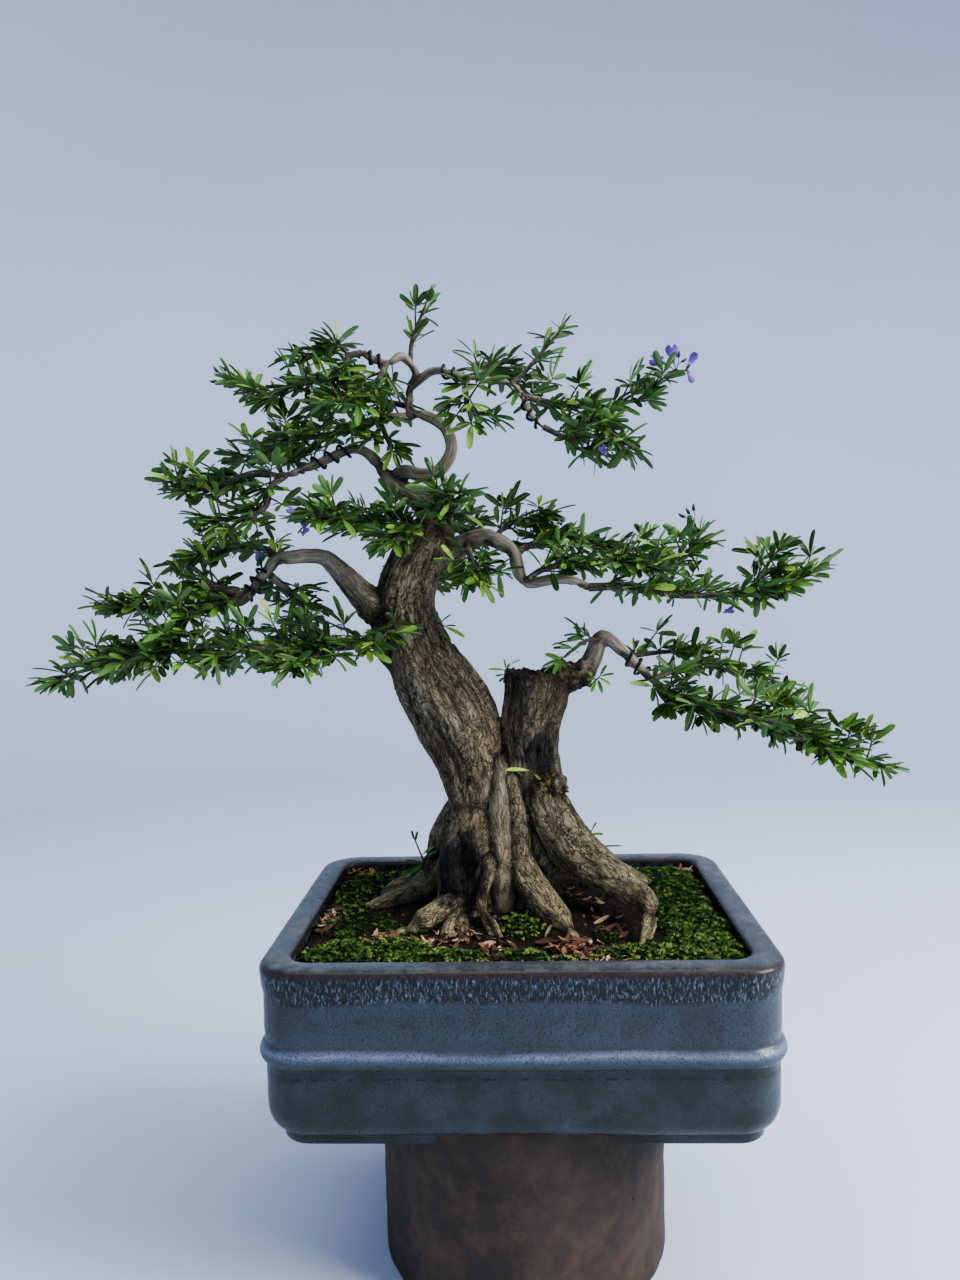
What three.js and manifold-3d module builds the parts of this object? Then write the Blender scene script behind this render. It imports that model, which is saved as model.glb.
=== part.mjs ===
// A desmodium bonsai: a leaning trunk and a cut second trunk on one root base, in a glazed pot
// that stands on a round cast column. Millimetres, +Z up, and -Y is the side it is seen from.
// The origin is the centre of the column's underside.
import * as THREE from "three";
import { mergeVertices } from "three/addons/utils/BufferGeometryUtils.js";
import Module from "manifold-3d";

const wasm = await Module();
wasm.setup();

// Column and pot
const COLUMN_RADIUS = 125;
const COLUMN_HEIGHT = 160;
const POT_WIDTH = 400;
const POT_DEPTH = 310;
const POT_HEIGHT = 140;
const POT_CORNER = 34;
const RIM_WIDTH = 23;
const FLOOR_THICKNESS = 14;
const FOOT_HEIGHT = 8;
const DRAIN_RADIUS = 11;
const DRAIN_OFFSET = 92;
const NET_SIDE = 44;
const NET_THICKNESS = 1.6;

// Soil
const SOIL_LEVEL = COLUMN_HEIGHT + 131;
const SOIL_DEPTH = 131 - FOOT_HEIGHT - FLOOR_THICKNESS;

// Foliage
const LEAF_LENGTH = 20;
const LEAF_HALF_WIDTH = 3.3;
const LEAF_THICKNESS = 0.7;
const STATION_SPACING = 9;
const STATIONS_PER_FROND = 5;
const BARE_STEM_END = 14;
const BLADE_ANGLES = [-0.95, 0, 0.95];
const TURNS_TRIED = 7;
const STEM_SIDES = 5;
const STEM_STEP = 34;
const FLOWER_ROOM = 14;

// Gap between two pieces that touch on the real thing
const GAP = 0.3;

// Slivers smaller than this, left where two forms are joined, are smoothed away
const SMALLEST_DETAIL = 0.03;

// Spacing of the points that stand for a stem when a leaf is turned clear of it
const CAPSULE_STEP = 12;

const COLOURS = {
  column: [0x4a3c34, 0.9],
  glaze: [0x5d7280, 0.35],
  soil: [0x3a2c22, 1],
  plastic: [0x22262a, 0.6],
  bark: [0x7b6c58, 0.9],
  leaf: [0x4c7a33, 0.5],
  flower: [0x8468b8, 0.5],
  wire: [0x1b1b1d, 0.5],
  moss: [0x5d8a2a, 1],
};

const part = new THREE.Group();
const pot = new THREE.Group();
pot.position.z = COLUMN_HEIGHT;
const ground = new THREE.Group();
ground.position.z = SOIL_LEVEL;
part.add(pot, ground);

// Solids and meshes

function solidOf(geometry) {
  const bare = geometry.clone();
  bare.deleteAttribute("normal");
  bare.deleteAttribute("uv");
  const merged = mergeVertices(bare, 1e-4);
  const vertProperties = merged.attributes.position.array;
  const triVerts = new Uint32Array(merged.index.array);
  return new wasm.Manifold(new wasm.Mesh({ numProp: 3, vertProperties, triVerts }));
}

function geometryOf(solid) {
  const mesh = solid.simplify(SMALLEST_DETAIL).getMesh();
  const geometry = new THREE.BufferGeometry();
  geometry.setAttribute("position", new THREE.BufferAttribute(mesh.vertProperties, 3));
  geometry.setIndex(new THREE.BufferAttribute(mesh.triVerts, 1));
  return geometry.toNonIndexed();
}

function add(group, name, shape, finish) {
  const geometry = shape.isBufferGeometry ? shape : geometryOf(shape);
  geometry.computeVertexNormals();
  const [color, roughness] = COLOURS[finish];
  const material = new THREE.MeshStandardMaterial({ color, roughness, metalness: 0, flatShading: true });
  const mesh = new THREE.Mesh(geometry, material);
  mesh.name = name;
  group.add(mesh);
  return mesh;
}

function united(solids) {
  return solids.reduce((whole, solid) => whole.add(solid));
}

function largest(solid) {
  return solid.decompose().reduce((a, b) => (b.volume() > a.volume() ? b : a));
}

// A closed skin over rings of the same number of points, with a flat fan over each end.
function skin(rings) {
  const sides = rings[0].length;
  const positions = rings.flat().flatMap((p) => [p.x, p.y, p.z]);
  const index = [];
  for (let ring = 0; ring + 1 < rings.length; ring++) {
    for (let i = 0; i < sides; i++) {
      const a = ring * sides + i;
      const b = ring * sides + ((i + 1) % sides);
      index.push(a, b, b + sides, a, b + sides, a + sides);
    }
  }
  const last = (rings.length - 1) * sides;
  for (let i = 1; i + 1 < sides; i++) {
    index.push(0, i + 1, i, last, last + i, last + i + 1);
  }
  const geometry = new THREE.BufferGeometry();
  geometry.setAttribute("position", new THREE.Float32BufferAttribute(positions, 3));
  geometry.setIndex(index);
  return geometry;
}

// A number from 0 to 1 that looks random and is always the same for the same seed.
function draw(seed) {
  const value = Math.sin(seed * 12.9898) * 43758.5453;
  return value - Math.floor(value);
}

// Stations along a smooth line through [x, y, z, radius] points, with a frame that doesn't twist.
function stations(line, step) {
  const points = line.map(([x, y, z]) => new THREE.Vector3(x, y, z));
  const curve = new THREE.CatmullRomCurve3(points, false, "catmullrom", 0.5);
  const spans = points.length - 1;
  const found = [];
  for (let span = 0; span < spans; span++) {
    const length = points[span].distanceTo(points[span + 1]);
    const pieces = Math.max(1, Math.round(length / step));
    const end = span === spans - 1 ? pieces + 1 : pieces;
    for (let i = 0; i < end; i++) {
      const t = (span + i / pieces) / spans;
      const at = curve.getPoint(t);
      const dir = curve.getTangent(t);
      const radius = THREE.MathUtils.lerp(line[span][3], line[span + 1][3], i / pieces);
      const before = found[found.length - 1];
      const along = before ? before.along + before.at.distanceTo(at) : 0;
      const up = before ? before.up.clone() : firstUp(dir);
      up.addScaledVector(dir, -up.dot(dir)).normalize();
      const side = new THREE.Vector3().crossVectors(up, dir);
      found.push({ at, dir, up, side, radius, along });
    }
  }
  return found;
}

function firstUp(dir) {
  return Math.abs(dir.z) > 0.8 ? new THREE.Vector3(0, -1, 0) : new THREE.Vector3(0, 0, 1);
}

// A tapering limb. Grown outwards by an allowance, it gives the room that its neighbours leave it.
function limb(line, { sides, step, ridges = 0, grown = 0 }) {
  const path = stations(line, step);
  const rings = path.map((s, k) => {
    const shift = k === 0 ? -grown : k === path.length - 1 ? grown : 0;
    const middle = s.at.clone().addScaledVector(s.dir, shift);
    return Array.from({ length: sides }, (_, i) => {
      const angle = (i / sides) * 2 * Math.PI;
      const furrow = Math.cos(5 * angle + s.along / 45) + 0.6 * Math.cos(3 * angle - s.along / 70);
      const r = s.radius * (1 + ridges * furrow) + grown;
      return middle
        .clone()
        .addScaledVector(s.side, r * Math.cos(angle))
        .addScaledVector(s.up, r * Math.sin(angle));
    });
  });
  return solidOf(skin(rings));
}

function ball(radius, x, y, z, stretch) {
  const geometry = new THREE.SphereGeometry(radius, 10, 7);
  geometry.scale(...stretch);
  geometry.translate(x, y, z);
  return solidOf(geometry);
}

// The column: cast in one piece, with a small bevel round both edges.

function makeColumn() {
  const bevel = 2.5;
  const r = COLUMN_RADIUS;
  const profile = [
    [0, 0],
    [r - bevel, 0],
    [r, bevel],
    [r, COLUMN_HEIGHT - bevel],
    [r - bevel, COLUMN_HEIGHT],
    [0, COLUMN_HEIGHT],
  ].map(([x, y]) => new THREE.Vector2(x, y));
  const column = new THREE.LatheGeometry(profile, 40);
  column.rotateX(Math.PI / 2);
  add(part, "column", solidOf(column), "column");
}

// The pot: slab walls with a belt, a banded rim, rounded lower edges and four corner feet.

function rectangleRing(width, depth, corner, z) {
  const ring = [];
  const cornerSteps = 4;
  for (let quarter = 0; quarter < 4; quarter++) {
    const sx = quarter === 0 || quarter === 3 ? 1 : -1;
    const sy = quarter < 2 ? 1 : -1;
    for (let i = 0; i <= cornerSteps; i++) {
      const angle = ((quarter + i / cornerSteps) * Math.PI) / 2;
      const x = sx * (width / 2 - corner) + corner * Math.cos(angle);
      const y = sy * (depth / 2 - corner) + corner * Math.sin(angle);
      ring.push(new THREE.Vector3(x, y, z));
    }
  }
  return ring;
}

// Height above the feet, and how far the outside stands in from the rim's widest line.
const POT_PROFILE = [
  [FOOT_HEIGHT, 16],
  [FOOT_HEIGHT + 3, 11],
  [18, 6],
  [32, 3],
  [61, 2],
  [64.5, 0],
  [71, -1.6],
  [77, 0],
  [80, 2],
  [117, 2],
  [120, 0],
  [134, 0],
  [POT_HEIGHT - 1.5, 2],
  [POT_HEIGHT, 5],
];

function makePot() {
  const outside = POT_PROFILE.map(([z, inset]) =>
    rectangleRing(POT_WIDTH - 2 * inset, POT_DEPTH - 2 * inset, POT_CORNER - inset / 2, z),
  );
  const cavity = skin([
    rectangleRing(POT_WIDTH - 2 * RIM_WIDTH - 20, POT_DEPTH - 2 * RIM_WIDTH - 20, 20, cavityFloor()),
    rectangleRing(POT_WIDTH - 2 * RIM_WIDTH, POT_DEPTH - 2 * RIM_WIDTH, 20, cavityFloor() + 14),
    rectangleRing(POT_WIDTH - 2 * RIM_WIDTH, POT_DEPTH - 2 * RIM_WIDTH, 20, POT_HEIGHT + 1),
  ]);
  let solid = solidOf(skin(outside)).subtract(solidOf(cavity));
  for (const side of [-1, 1]) {
    const drain = new THREE.CylinderGeometry(DRAIN_RADIUS, DRAIN_RADIUS, 40, 12);
    drain.rotateX(Math.PI / 2);
    drain.translate(side * DRAIN_OFFSET, 0, FOOT_HEIGHT);
    solid = solid.subtract(solidOf(drain));
  }
  for (const sx of [-1, 1]) {
    for (const sy of [-1, 1]) solid = solid.add(makeFoot(sx, sy));
  }
  add(pot, "pot", solid, "glaze");
}

function cavityFloor() {
  return FOOT_HEIGHT + FLOOR_THICKNESS;
}

// A corner foot, with its inner ends sloping up into the pot's underside.
function makeFoot(sx, sy) {
  const outerX = POT_WIDTH / 2 - 15;
  const outerY = POT_DEPTH / 2 - 15;
  const length = 115;
  const width = 88;
  const slope = 9;
  const lift = FOOT_HEIGHT + 2;
  const ring = (z, inner, chamfer) =>
    [
      [outerX - chamfer - 18, outerY - chamfer],
      [outerX - chamfer, outerY - chamfer - 18],
      [outerX - chamfer, outerY - width - inner],
      [outerX - length - inner, outerY - width - inner],
      [outerX - length - inner, outerY - chamfer],
    ].map(([x, y]) => new THREE.Vector3(sx * x, sy * y, z));
  const rings = [ring(0, 0, 1.5), ring(2, 2, 0), ring(lift, slope, 0)];
  // Mirroring one axis turns the outline round, and the skin wants it anticlockwise.
  if (sx * sy > 0) rings.forEach((r) => r.reverse());
  return solidOf(skin(rings));
}

// Squares of plastic net over the drain holes keep the soil in.

function makeDrainNet(name, side) {
  const hole = 6;
  const pitch = 12;
  let net = solidOf(new THREE.BoxGeometry(NET_SIDE, NET_SIDE, NET_THICKNESS));
  for (const column of [-0.5, 0.5]) {
    for (const row of [-0.5, 0.5]) {
      const opening = new THREE.BoxGeometry(hole, hole, 2 * NET_THICKNESS);
      opening.translate(column * pitch, row * pitch, 0);
      net = net.subtract(solidOf(opening));
    }
  }
  const mesh = add(pot, name, net, "plastic");
  mesh.position.set(side * DRAIN_OFFSET, 0, cavityFloor() + GAP + NET_THICKNESS / 2);
}

// The wood: trunk, cut second trunk, surface roots and bare limbs, grown as one piece.
// Each point is [across, away, above the soil, radius].

const WOOD = {
  trunk: {
    sides: 16,
    step: 26,
    ridges: 0.045,
    line: [
      [-29, 16, -14, 41],
      [-34, 13, 52, 33],
      [-36, 11, 94, 29],
      [-41, 9, 131, 31],
      [-52, 7, 170, 36],
      [-69, 6, 203, 35],
      [-86, 5, 237, 30],
      [-95, 4, 266, 27],
      [-93, 3, 290, 26],
      [-76, 1, 325, 23],
      [-67, 0, 342, 19],
      [-65, 0, 357, 13],
    ],
  },
  stump: {
    sides: 14,
    step: 30,
    ridges: 0.045,
    line: [
      [1, 20, -14, 36],
      [5, 19, 18, 33],
      [15, 17, 69, 29],
      [17, 14, 108, 25],
      [14, 12, 141, 23],
      [14, 12, 172, 26],
      [21, 12, 203, 30],
      [24, 12, 232, 31],
    ],
  },
  hollow_lobe: {
    sides: 10,
    step: 40,
    line: [
      [-38, 2, 100, 20],
      [-43, -6, 71, 24],
      [-48, -8, 40, 26],
      [-48, -6, -12, 24],
    ],
  },
  left_lobe: {
    sides: 9,
    step: 40,
    line: [
      [-48, 32, 99, 16],
      [-65, 38, 63, 20],
      [-72, 40, 30, 20],
      [-73, 40, -12, 18],
    ],
  },
  pillar: {
    sides: 8,
    step: 50,
    line: [
      [-18, -8, 116, 15],
      [-13, -14, 35, 13],
      [-17, -11, -12, 10],
    ],
  },
  root_right: {
    sides: 9,
    step: 24,
    ridges: 0.05,
    line: [
      [21, 4, 117, 16],
      [31, -2, 87, 21],
      [48, -8, 61, 22],
      [70, -14, 43, 18],
      [91, -24, 30, 14],
      [107, -38, 21, 11],
      [110, -54, 14, 9],
      [103, -72, 6, 7],
      [97, -88, -6, 5],
    ],
  },
  root_front: {
    sides: 8,
    step: 30,
    line: [
      [2, -8, 71, 14],
      [3, -12, 43, 14],
      [28, -31, 11, 12],
      [57, -58, -10, 8],
    ],
  },
  root_small: {
    sides: 6,
    step: 30,
    line: [
      [-26, -22, 46, 8],
      [-32, -32, 24, 6],
      [-28, -46, 11, 5],
      [-18, -68, -9, 3],
    ],
  },
  root_left: {
    sides: 8,
    step: 40,
    line: [
      [-61, 28, 37, 16],
      [-83, 27, 17, 11],
      [-138, 19, -2, 6],
      [-156, 14, -8, 4],
    ],
  },
  root_front_left: {
    sides: 8,
    step: 30,
    line: [
      [-42, -14, 23, 13],
      [-77, -24, 1, 10],
      [-121, -26, -13, 5],
    ],
  },
  root_finger: {
    sides: 6,
    step: 30,
    line: [
      [-51, -26, 9, 8],
      [-48, -46, 2, 6],
      [-46, -76, -12, 4],
    ],
  },
  root_back: {
    sides: 8,
    step: 50,
    line: [
      [39, 36, 54, 16],
      [75, 56, 28, 12],
      [107, 70, 9, 9],
      [148, 80, -16, 4],
    ],
  },
  knob: {
    sides: 7,
    step: 20,
    line: [
      [21, 2, 109, 12],
      [32, -3, 111, 11],
      [39, -5, 118, 7],
    ],
  },
  shoulder: {
    sides: 8,
    step: 18,
    line: [
      [-96, 2, 253, 20],
      [-113, -1, 268, 15],
      [-128, -5, 282, 11.5],
      [-152, -14, 310, 7.5],
      [-165, -18, 319, 6.5],
      [-192, -26, 318, 6],
      [-203, -30, 313, 5.8],
      [-218, -36, 293, 5.2],
      [-227, -38, 285, 5],
    ],
  },
  top_limb: {
    sides: 8,
    step: 16,
    line: [
      [-67, 0, 342, 18],
      [-64, 0, 356, 13],
      [-73, -1, 364, 11],
      [-98, -4, 378, 8.5],
      [-107, -6, 388, 7.5],
    ],
  },
  s_curve: {
    sides: 7,
    step: 14,
    line: [
      [-103, -6, 386, 7],
      [-90, -10, 390, 6.3],
      [-75, -13, 386, 6.2],
      [-61, -14, 389, 6.2],
      [-50, -10, 406, 5.6],
      [-54, -2, 426, 5.2],
      [-68, 6, 438, 5],
      [-86, 10, 445, 4.6],
      [-87, 10, 456, 4.5],
      [-85, 8, 469, 4.5],
    ],
  },
  left_arch: {
    sides: 7,
    step: 18,
    line: [
      [-105, -5, 385, 7],
      [-115, -9, 400, 5.6],
      [-123, -12, 407, 5],
      [-135, -15, 410, 4.8],
      [-162, -21, 398, 4.3],
      [-190, -26, 388, 3.9],
      [-204, -28, 389, 3.6],
    ],
  },
  middle_right: {
    sides: 7,
    step: 18,
    line: [
      [-62, 6, 314, 13],
      [-47, 2, 324, 9.5],
      [-35, -3, 330, 8.5],
      [-20, -8, 332, 7.5],
      [0, -16, 320, 6.4],
      [8, -18, 297, 5.4],
      [17, -18, 292, 5],
      [43, -17, 295, 4.4],
      [68, -13, 287, 4],
    ],
  },
  lower_right: {
    sides: 8,
    step: 20,
    line: [
      [27, 12, 204, 16],
      [48, 11, 200, 13],
      [61, 9, 203, 10],
      [69, 7, 216, 8],
      [76, 3, 242, 6.6],
      [85, 1, 240, 5.8],
      [111, -6, 214, 4.7],
      [126, -10, 200, 4.4],
    ],
  },
  apex_left: {
    sides: 6,
    step: 18,
    line: [
      [-85, 8, 466, 4.5],
      [-80, 5, 475, 4.4],
      [-90, -5, 489, 4.1],
      [-104, -10, 483, 3.8],
      [-126, -14, 491, 3.2],
    ],
  },
  apex_right: {
    sides: 6,
    step: 20,
    line: [
      [-86, 8, 464, 4.4],
      [-65, 0, 477, 3.9],
      [-43, -8, 471, 3.6],
      [-18, -14, 465, 3.3],
      [3, -18, 460, 3.1],
      [11, -20, 450, 3],
      [21, -24, 430, 2.8],
      [30, -26, 421, 2.6],
    ],
  },
};

// The second trunk was sawn off on a slant that falls to the right.
function stumpCut() {
  const cut = new THREE.BoxGeometry(80, 90, 60);
  cut.translate(0, 0, 30);
  cut.rotateY(0.22);
  cut.translate(18, 12, 210);
  return solidOf(cut);
}

function makeWood(grown) {
  const limbs = Object.entries(WOOD).map(([name, { line, ...form }]) => {
    const solid = limb(line, { ...form, grown });
    return name === "stump" ? solid.subtract(stumpCut()) : solid;
  });
  const hollow = ball(17 - grown, -45, -36, 52, [1, 0.9, 1.7]);
  const wound = ball(11 - grown, 19, -14, 137, [1, 0.6, 2]);
  return united(limbs).subtract(hollow).subtract(wound);
}

const wood = makeWood(0);
const woodRoom = makeWood(GAP);

// Training wire: a helix round a stretch of a bare limb.

const WIRE_RADIUS = 1.3;
const WIRES = [
  { name: "wire_shoulder", on: "shoulder", from: 149, to: 174, pitch: 9 },
  { name: "wire_left_arch", on: "left_arch", from: 46, to: 80, pitch: 12 },
  { name: "wire_apex_left", on: "apex_left", from: 51, to: 66, pitch: 8 },
  { name: "wire_right_rise", on: "apex_right", from: 33, to: 54, pitch: 10 },
  { name: "wire_right_fall", on: "apex_right", from: 115, to: 142, pitch: 10 },
  { name: "wire_lower_right", on: "lower_right", from: 109, to: 132, pitch: 10 },
];

function wireLine({ on, from, to, pitch }) {
  const path = stations(WOOD[on].line, 3);
  const stepsPerTurn = 7;
  const turns = (to - from) / pitch;
  const steps = Math.round(turns * stepsPerTurn);
  return Array.from({ length: steps + 1 }, (_, i) => {
    const along = THREE.MathUtils.lerp(from, to, i / steps);
    const s = path.find((station) => station.along >= along) ?? path[path.length - 1];
    const angle = (i / stepsPerTurn) * 2 * Math.PI;
    const reach = (s.radius + WIRE_RADIUS + 2 * GAP) / Math.cos(Math.PI / stepsPerTurn);
    const p = s.at
      .clone()
      .addScaledVector(s.dir, along - s.along)
      .addScaledVector(s.side, reach * Math.cos(angle))
      .addScaledVector(s.up, reach * Math.sin(angle));
    return [p.x, p.y, p.z, WIRE_RADIUS];
  });
}

function makeWire(wire, grown) {
  return limb(wireLine(wire), { sides: 4, step: 50, grown });
}

// Foliage: each leafy stem with its side twigs and leaves is one piece.
// The stems' points are [across, away, above the soil, radius], as for the wood.

const SPRAYS = {
  low_left_upper: [
    [
      [-231, -38, 288, 4.4],
      [-245, -36, 291, 3.8],
      [-264, -30, 297, 3.4],
      [-289, -24, 284, 3],
      [-318, -18, 278, 2.3],
      [-354, -12, 280, 1.5],
    ],
  ],
  low_left_tip: [
    [
      [-228, -39, 279, 4.2],
      [-245, -46, 281, 4],
      [-264, -57, 277, 3.6],
      [-275, -68, 257, 3],
      [-310, -74, 240, 2.3],
      [-376, -66, 222, 1.3],
    ],
  ],
  low_left_back: [
    [
      [-207, -26, 304, 3.6],
      [-191, 10, 281, 3],
      [-191, 24, 265, 2.8],
      [-234, 42, 241, 2.2],
      [-292, 48, 232, 1.4],
    ],
  ],
  low_left_front: [
    [
      [-115, -10, 256, 4.5],
      [-136, -34, 242, 3.6],
      [-174, -64, 245, 2.7],
      [-215, -82, 243, 1.9],
      [-235, -88, 238, 1.4],
    ],
  ],
  low_left_top: [
    [
      [-198, -28, 315, 3.4],
      [-212, -14, 326, 3.1],
      [-241, 2, 330, 2.5],
      [-297, 22, 318, 1.5],
    ],
  ],
  arch_tip: [
    [
      [-202, -28, 389, 3.5],
      [-218, -30, 389, 3.3],
      [-243, -32, 381, 2.9],
      [-271, -31, 377, 2.1],
      [-287, -30, 383, 1.6],
    ],
  ],
  arch_drop: [
    [
      [-190, -26, 388, 3.2],
      [-201, -38, 376, 3],
      [-203, -47, 360, 2.6],
      [-221, -52, 350, 2.1],
      [-249, -50, 352, 1.4],
    ],
  ],
  arch_back: [
    [
      [-176, -24, 391, 2.8],
      [-191, -2, 408, 2.5],
      [-225, 32, 414, 1.9],
      [-244, 46, 410, 1.4],
    ],
  ],
  middle_left: [
    [
      [-90, -8, 338, 3.8],
      [-111, -34, 347, 3],
      [-141, -56, 349, 2.1],
      [-157, -64, 352, 1.5],
    ],
  ],
  middle_left_back: [
    [
      [-90, 10, 326, 3.4],
      [-118, 34, 338, 2.6],
      [-167, 62, 354, 1.8],
      [-195, 70, 357, 1.4],
    ],
  ],
  upper_left: [
    [
      [-86, 9, 440, 3.8],
      [-105, 0, 438, 3.5],
      [-131, -14, 429, 3],
      [-158, -26, 420, 2.4],
      [-190, -34, 416, 1.5],
    ],
    [
      [-112, -4, 436, 2.6],
      [-105, -14, 420, 2.2],
      [-100, -22, 409, 1.6],
    ],
  ],
  upper_left_back: [
    [
      [-87, 10, 449, 2.8],
      [-111, 26, 457, 2.4],
      [-150, 52, 465, 1.8],
      [-173, 62, 460, 1.4],
    ],
  ],
  apex_front: [
    [
      [-104, -10, 482, 3],
      [-110, -26, 464, 2.7],
      [-130, -44, 449, 2],
      [-145, -54, 443, 1.4],
    ],
  ],
  apex_far_left: [
    [
      [-124, -14, 491, 3],
      [-135, -17, 487, 2.8],
      [-145, -21, 470, 2.4],
      [-179, -22, 464, 1.8],
      [-204, -22, 454, 1.3],
    ],
    [
      [-134, -16, 488, 1.9],
      [-148, -2, 501, 1.6],
      [-178, 12, 494, 1.2],
    ],
  ],
  apex_rise: [
    [
      [-84, 1, 482, 2.4],
      [-83, 10, 506, 1.9],
      [-71, 12, 536, 1.1],
    ],
  ],
  right_top_front: [
    [
      [-34, -11, 469, 2.6],
      [-35, -28, 451, 2.2],
      [-31, -46, 426, 1.3],
    ],
  ],
  right_top_back: [
    [
      [-26, -12, 467, 2.6],
      [-17, 12, 481, 2.3],
      [7, 42, 472, 1.5],
    ],
  ],
  right_rise: [
    [
      [3, -18, 460, 2.4],
      [16, -10, 473, 2],
      [44, -2, 505, 1.1],
    ],
  ],
  right_upper: [
    [
      [11, -20, 450, 2.8],
      [42, 0, 446, 2.4],
      [78, 12, 444, 1.9],
      [118, 20, 451, 1.4],
    ],
    [
      [112, 19, 449, 1.2],
      [132, 21, 466, 1],
      [148, 22, 477, 0.9],
    ],
  ],
  right_drop: [
    [
      [29, -26, 422, 2.5],
      [52, -32, 411, 2.2],
      [68, -40, 423, 1.8],
      [98, -48, 401, 1.1],
    ],
    [
      [52, -32, 411, 2],
      [60, -18, 404, 1.7],
      [84, 2, 405, 1.1],
    ],
  ],
  middle_right_tip: [
    [
      [66, -13, 287, 3.8],
      [105, -8, 287, 3.3],
      [147, -4, 278, 2.8],
      [209, 2, 278, 2],
      [250, 6, 279, 1.4],
    ],
    [
      [134, -5, 282, 2],
      [140, -20, 303, 1.8],
      [156, -26, 325, 1.1],
    ],
    [
      [207, 2, 278, 1.8],
      [218, 14, 294, 1.5],
      [235, 20, 315, 1],
    ],
  ],
  middle_right_back: [
    [
      [1, -14, 318, 3.2],
      [35, 22, 330, 2.7],
      [83, 46, 322, 2.1],
      [140, 60, 309, 1.4],
    ],
  ],
  middle_right_front: [
    [
      [12, -20, 294, 3],
      [30, -40, 304, 2.7],
      [71, -66, 309, 2.1],
      [116, -82, 300, 1.4],
    ],
  ],
  middle_right_rise: [
    [
      [-15, -9, 331, 2.6],
      [-1, 6, 344, 2.2],
      [31, 20, 353, 1.4],
    ],
  ],
  middle_right_low: [
    [
      [-38, -6, 328, 3],
      [-33, -26, 309, 2.4],
      [-28, -36, 298, 1.6],
    ],
  ],
  top_front: [
    [
      [-62, -8, 345, 3.4],
      [-49, -34, 354, 2.7],
      [-57, -58, 366, 1.4],
    ],
  ],
  top_front_left: [
    [
      [-76, -8, 340, 3.2],
      [-84, -38, 343, 2.6],
      [-93, -60, 329, 1.4],
    ],
  ],
  top_back: [
    [
      [-66, 8, 342, 4],
      [-60, 44, 351, 3.2],
      [-48, 98, 341, 2],
      [-42, 118, 330, 1.4],
    ],
  ],
  low_right_tip: [
    [
      [124, -10, 201, 4.2],
      [137, -14, 186, 3.8],
      [180, -26, 176, 3],
      [239, -30, 156, 2.2],
      [305, -26, 131, 1.2],
    ],
  ],
  low_right_upper: [
    [
      [120, -8, 206, 3],
      [141, 8, 212, 2.8],
      [178, 30, 219, 2.2],
      [242, 48, 196, 1.2],
    ],
  ],
  low_right_front: [
    [
      [113, -8, 211, 2.8],
      [147, -38, 190, 2.5],
      [205, -74, 177, 1.3],
    ],
  ],
  low_right_back: [
    [
      [98, -3, 226, 2.6],
      [136, 30, 227, 2],
      [178, 52, 225, 1.2],
    ],
  ],
  stump_sprig: [
    [
      [76, 3, 241, 2],
      [62, -16, 241, 1.7],
      [44, -28, 229, 1.1],
    ],
  ],
  shoulder_sprig: [
    [
      [-110, -8, 262, 2.4],
      [-106, -40, 252, 1.6],
      [-112, -50, 247, 1.2],
    ],
  ],
  back_branch: [
    [
      [-90, 22, 286, 7],
      [-83, 58, 297, 4.8],
      [-59, 108, 303, 2.9],
      [-43, 128, 297, 2],
    ],
  ],
  flank_sprig: [
    [
      [-72, -4, 240, 2],
      [-53, -12, 251, 1.5],
      [-44, -16, 258, 1.1],
    ],
  ],
  trunk_sprig: [
    [
      [-12, -4, 122, 1.6],
      [-6, -26, 128, 1.3],
      [4, -32, 133, 1],
    ],
  ],
  base_sprout_left: [
    [
      [-78, 36, 40, 1.8],
      [-92, 34, 55, 1.4],
      [-98, 36, 66, 1],
    ],
  ],
  base_sprout_right: [
    [
      [56, 44, 42, 1.8],
      [69, 46, 53, 1.4],
      [77, 50, 63, 1],
    ],
  ],
};

// Capsules round everything placed so far: new twigs and leaves are turned clear of them.
const taken = [];

function takeLine(line, owner) {
  const path = stations(line, CAPSULE_STEP);
  for (let i = 0; i + 1 < path.length; i++) {
    taken.push({ a: path[i].at, b: path[i + 1].at, r: path[i].radius, owner, isStem: true });
  }
}

function capsuleDistance(a, b, c, d) {
  const u = b.clone().sub(a);
  const v = d.clone().sub(c);
  const w = a.clone().sub(c);
  const uu = u.dot(u);
  const uv = u.dot(v);
  const vv = v.dot(v);
  const uw = u.dot(w);
  const vw = v.dot(w);
  const det = uu * vv - uv * uv;
  const clamp = (x) => Math.min(1, Math.max(0, x));
  let s = det > 1e-9 ? clamp((uv * vw - vv * uw) / det) : 0;
  const t = clamp((uv * s + vw) / vv);
  s = clamp((uv * t - uw) / uu);
  return w.addScaledVector(u, s).addScaledVector(v, -t).length();
}

function isClear(a, b, radius, owner, onStem = false) {
  return taken.every((c) => {
    if (onStem && c.owner === owner && c.isStem) return true;
    const near = c.owner === owner ? -0.4 * radius : GAP;
    return capsuleDistance(a, b, c.a, c.b) > radius + c.r + near;
  });
}

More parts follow.
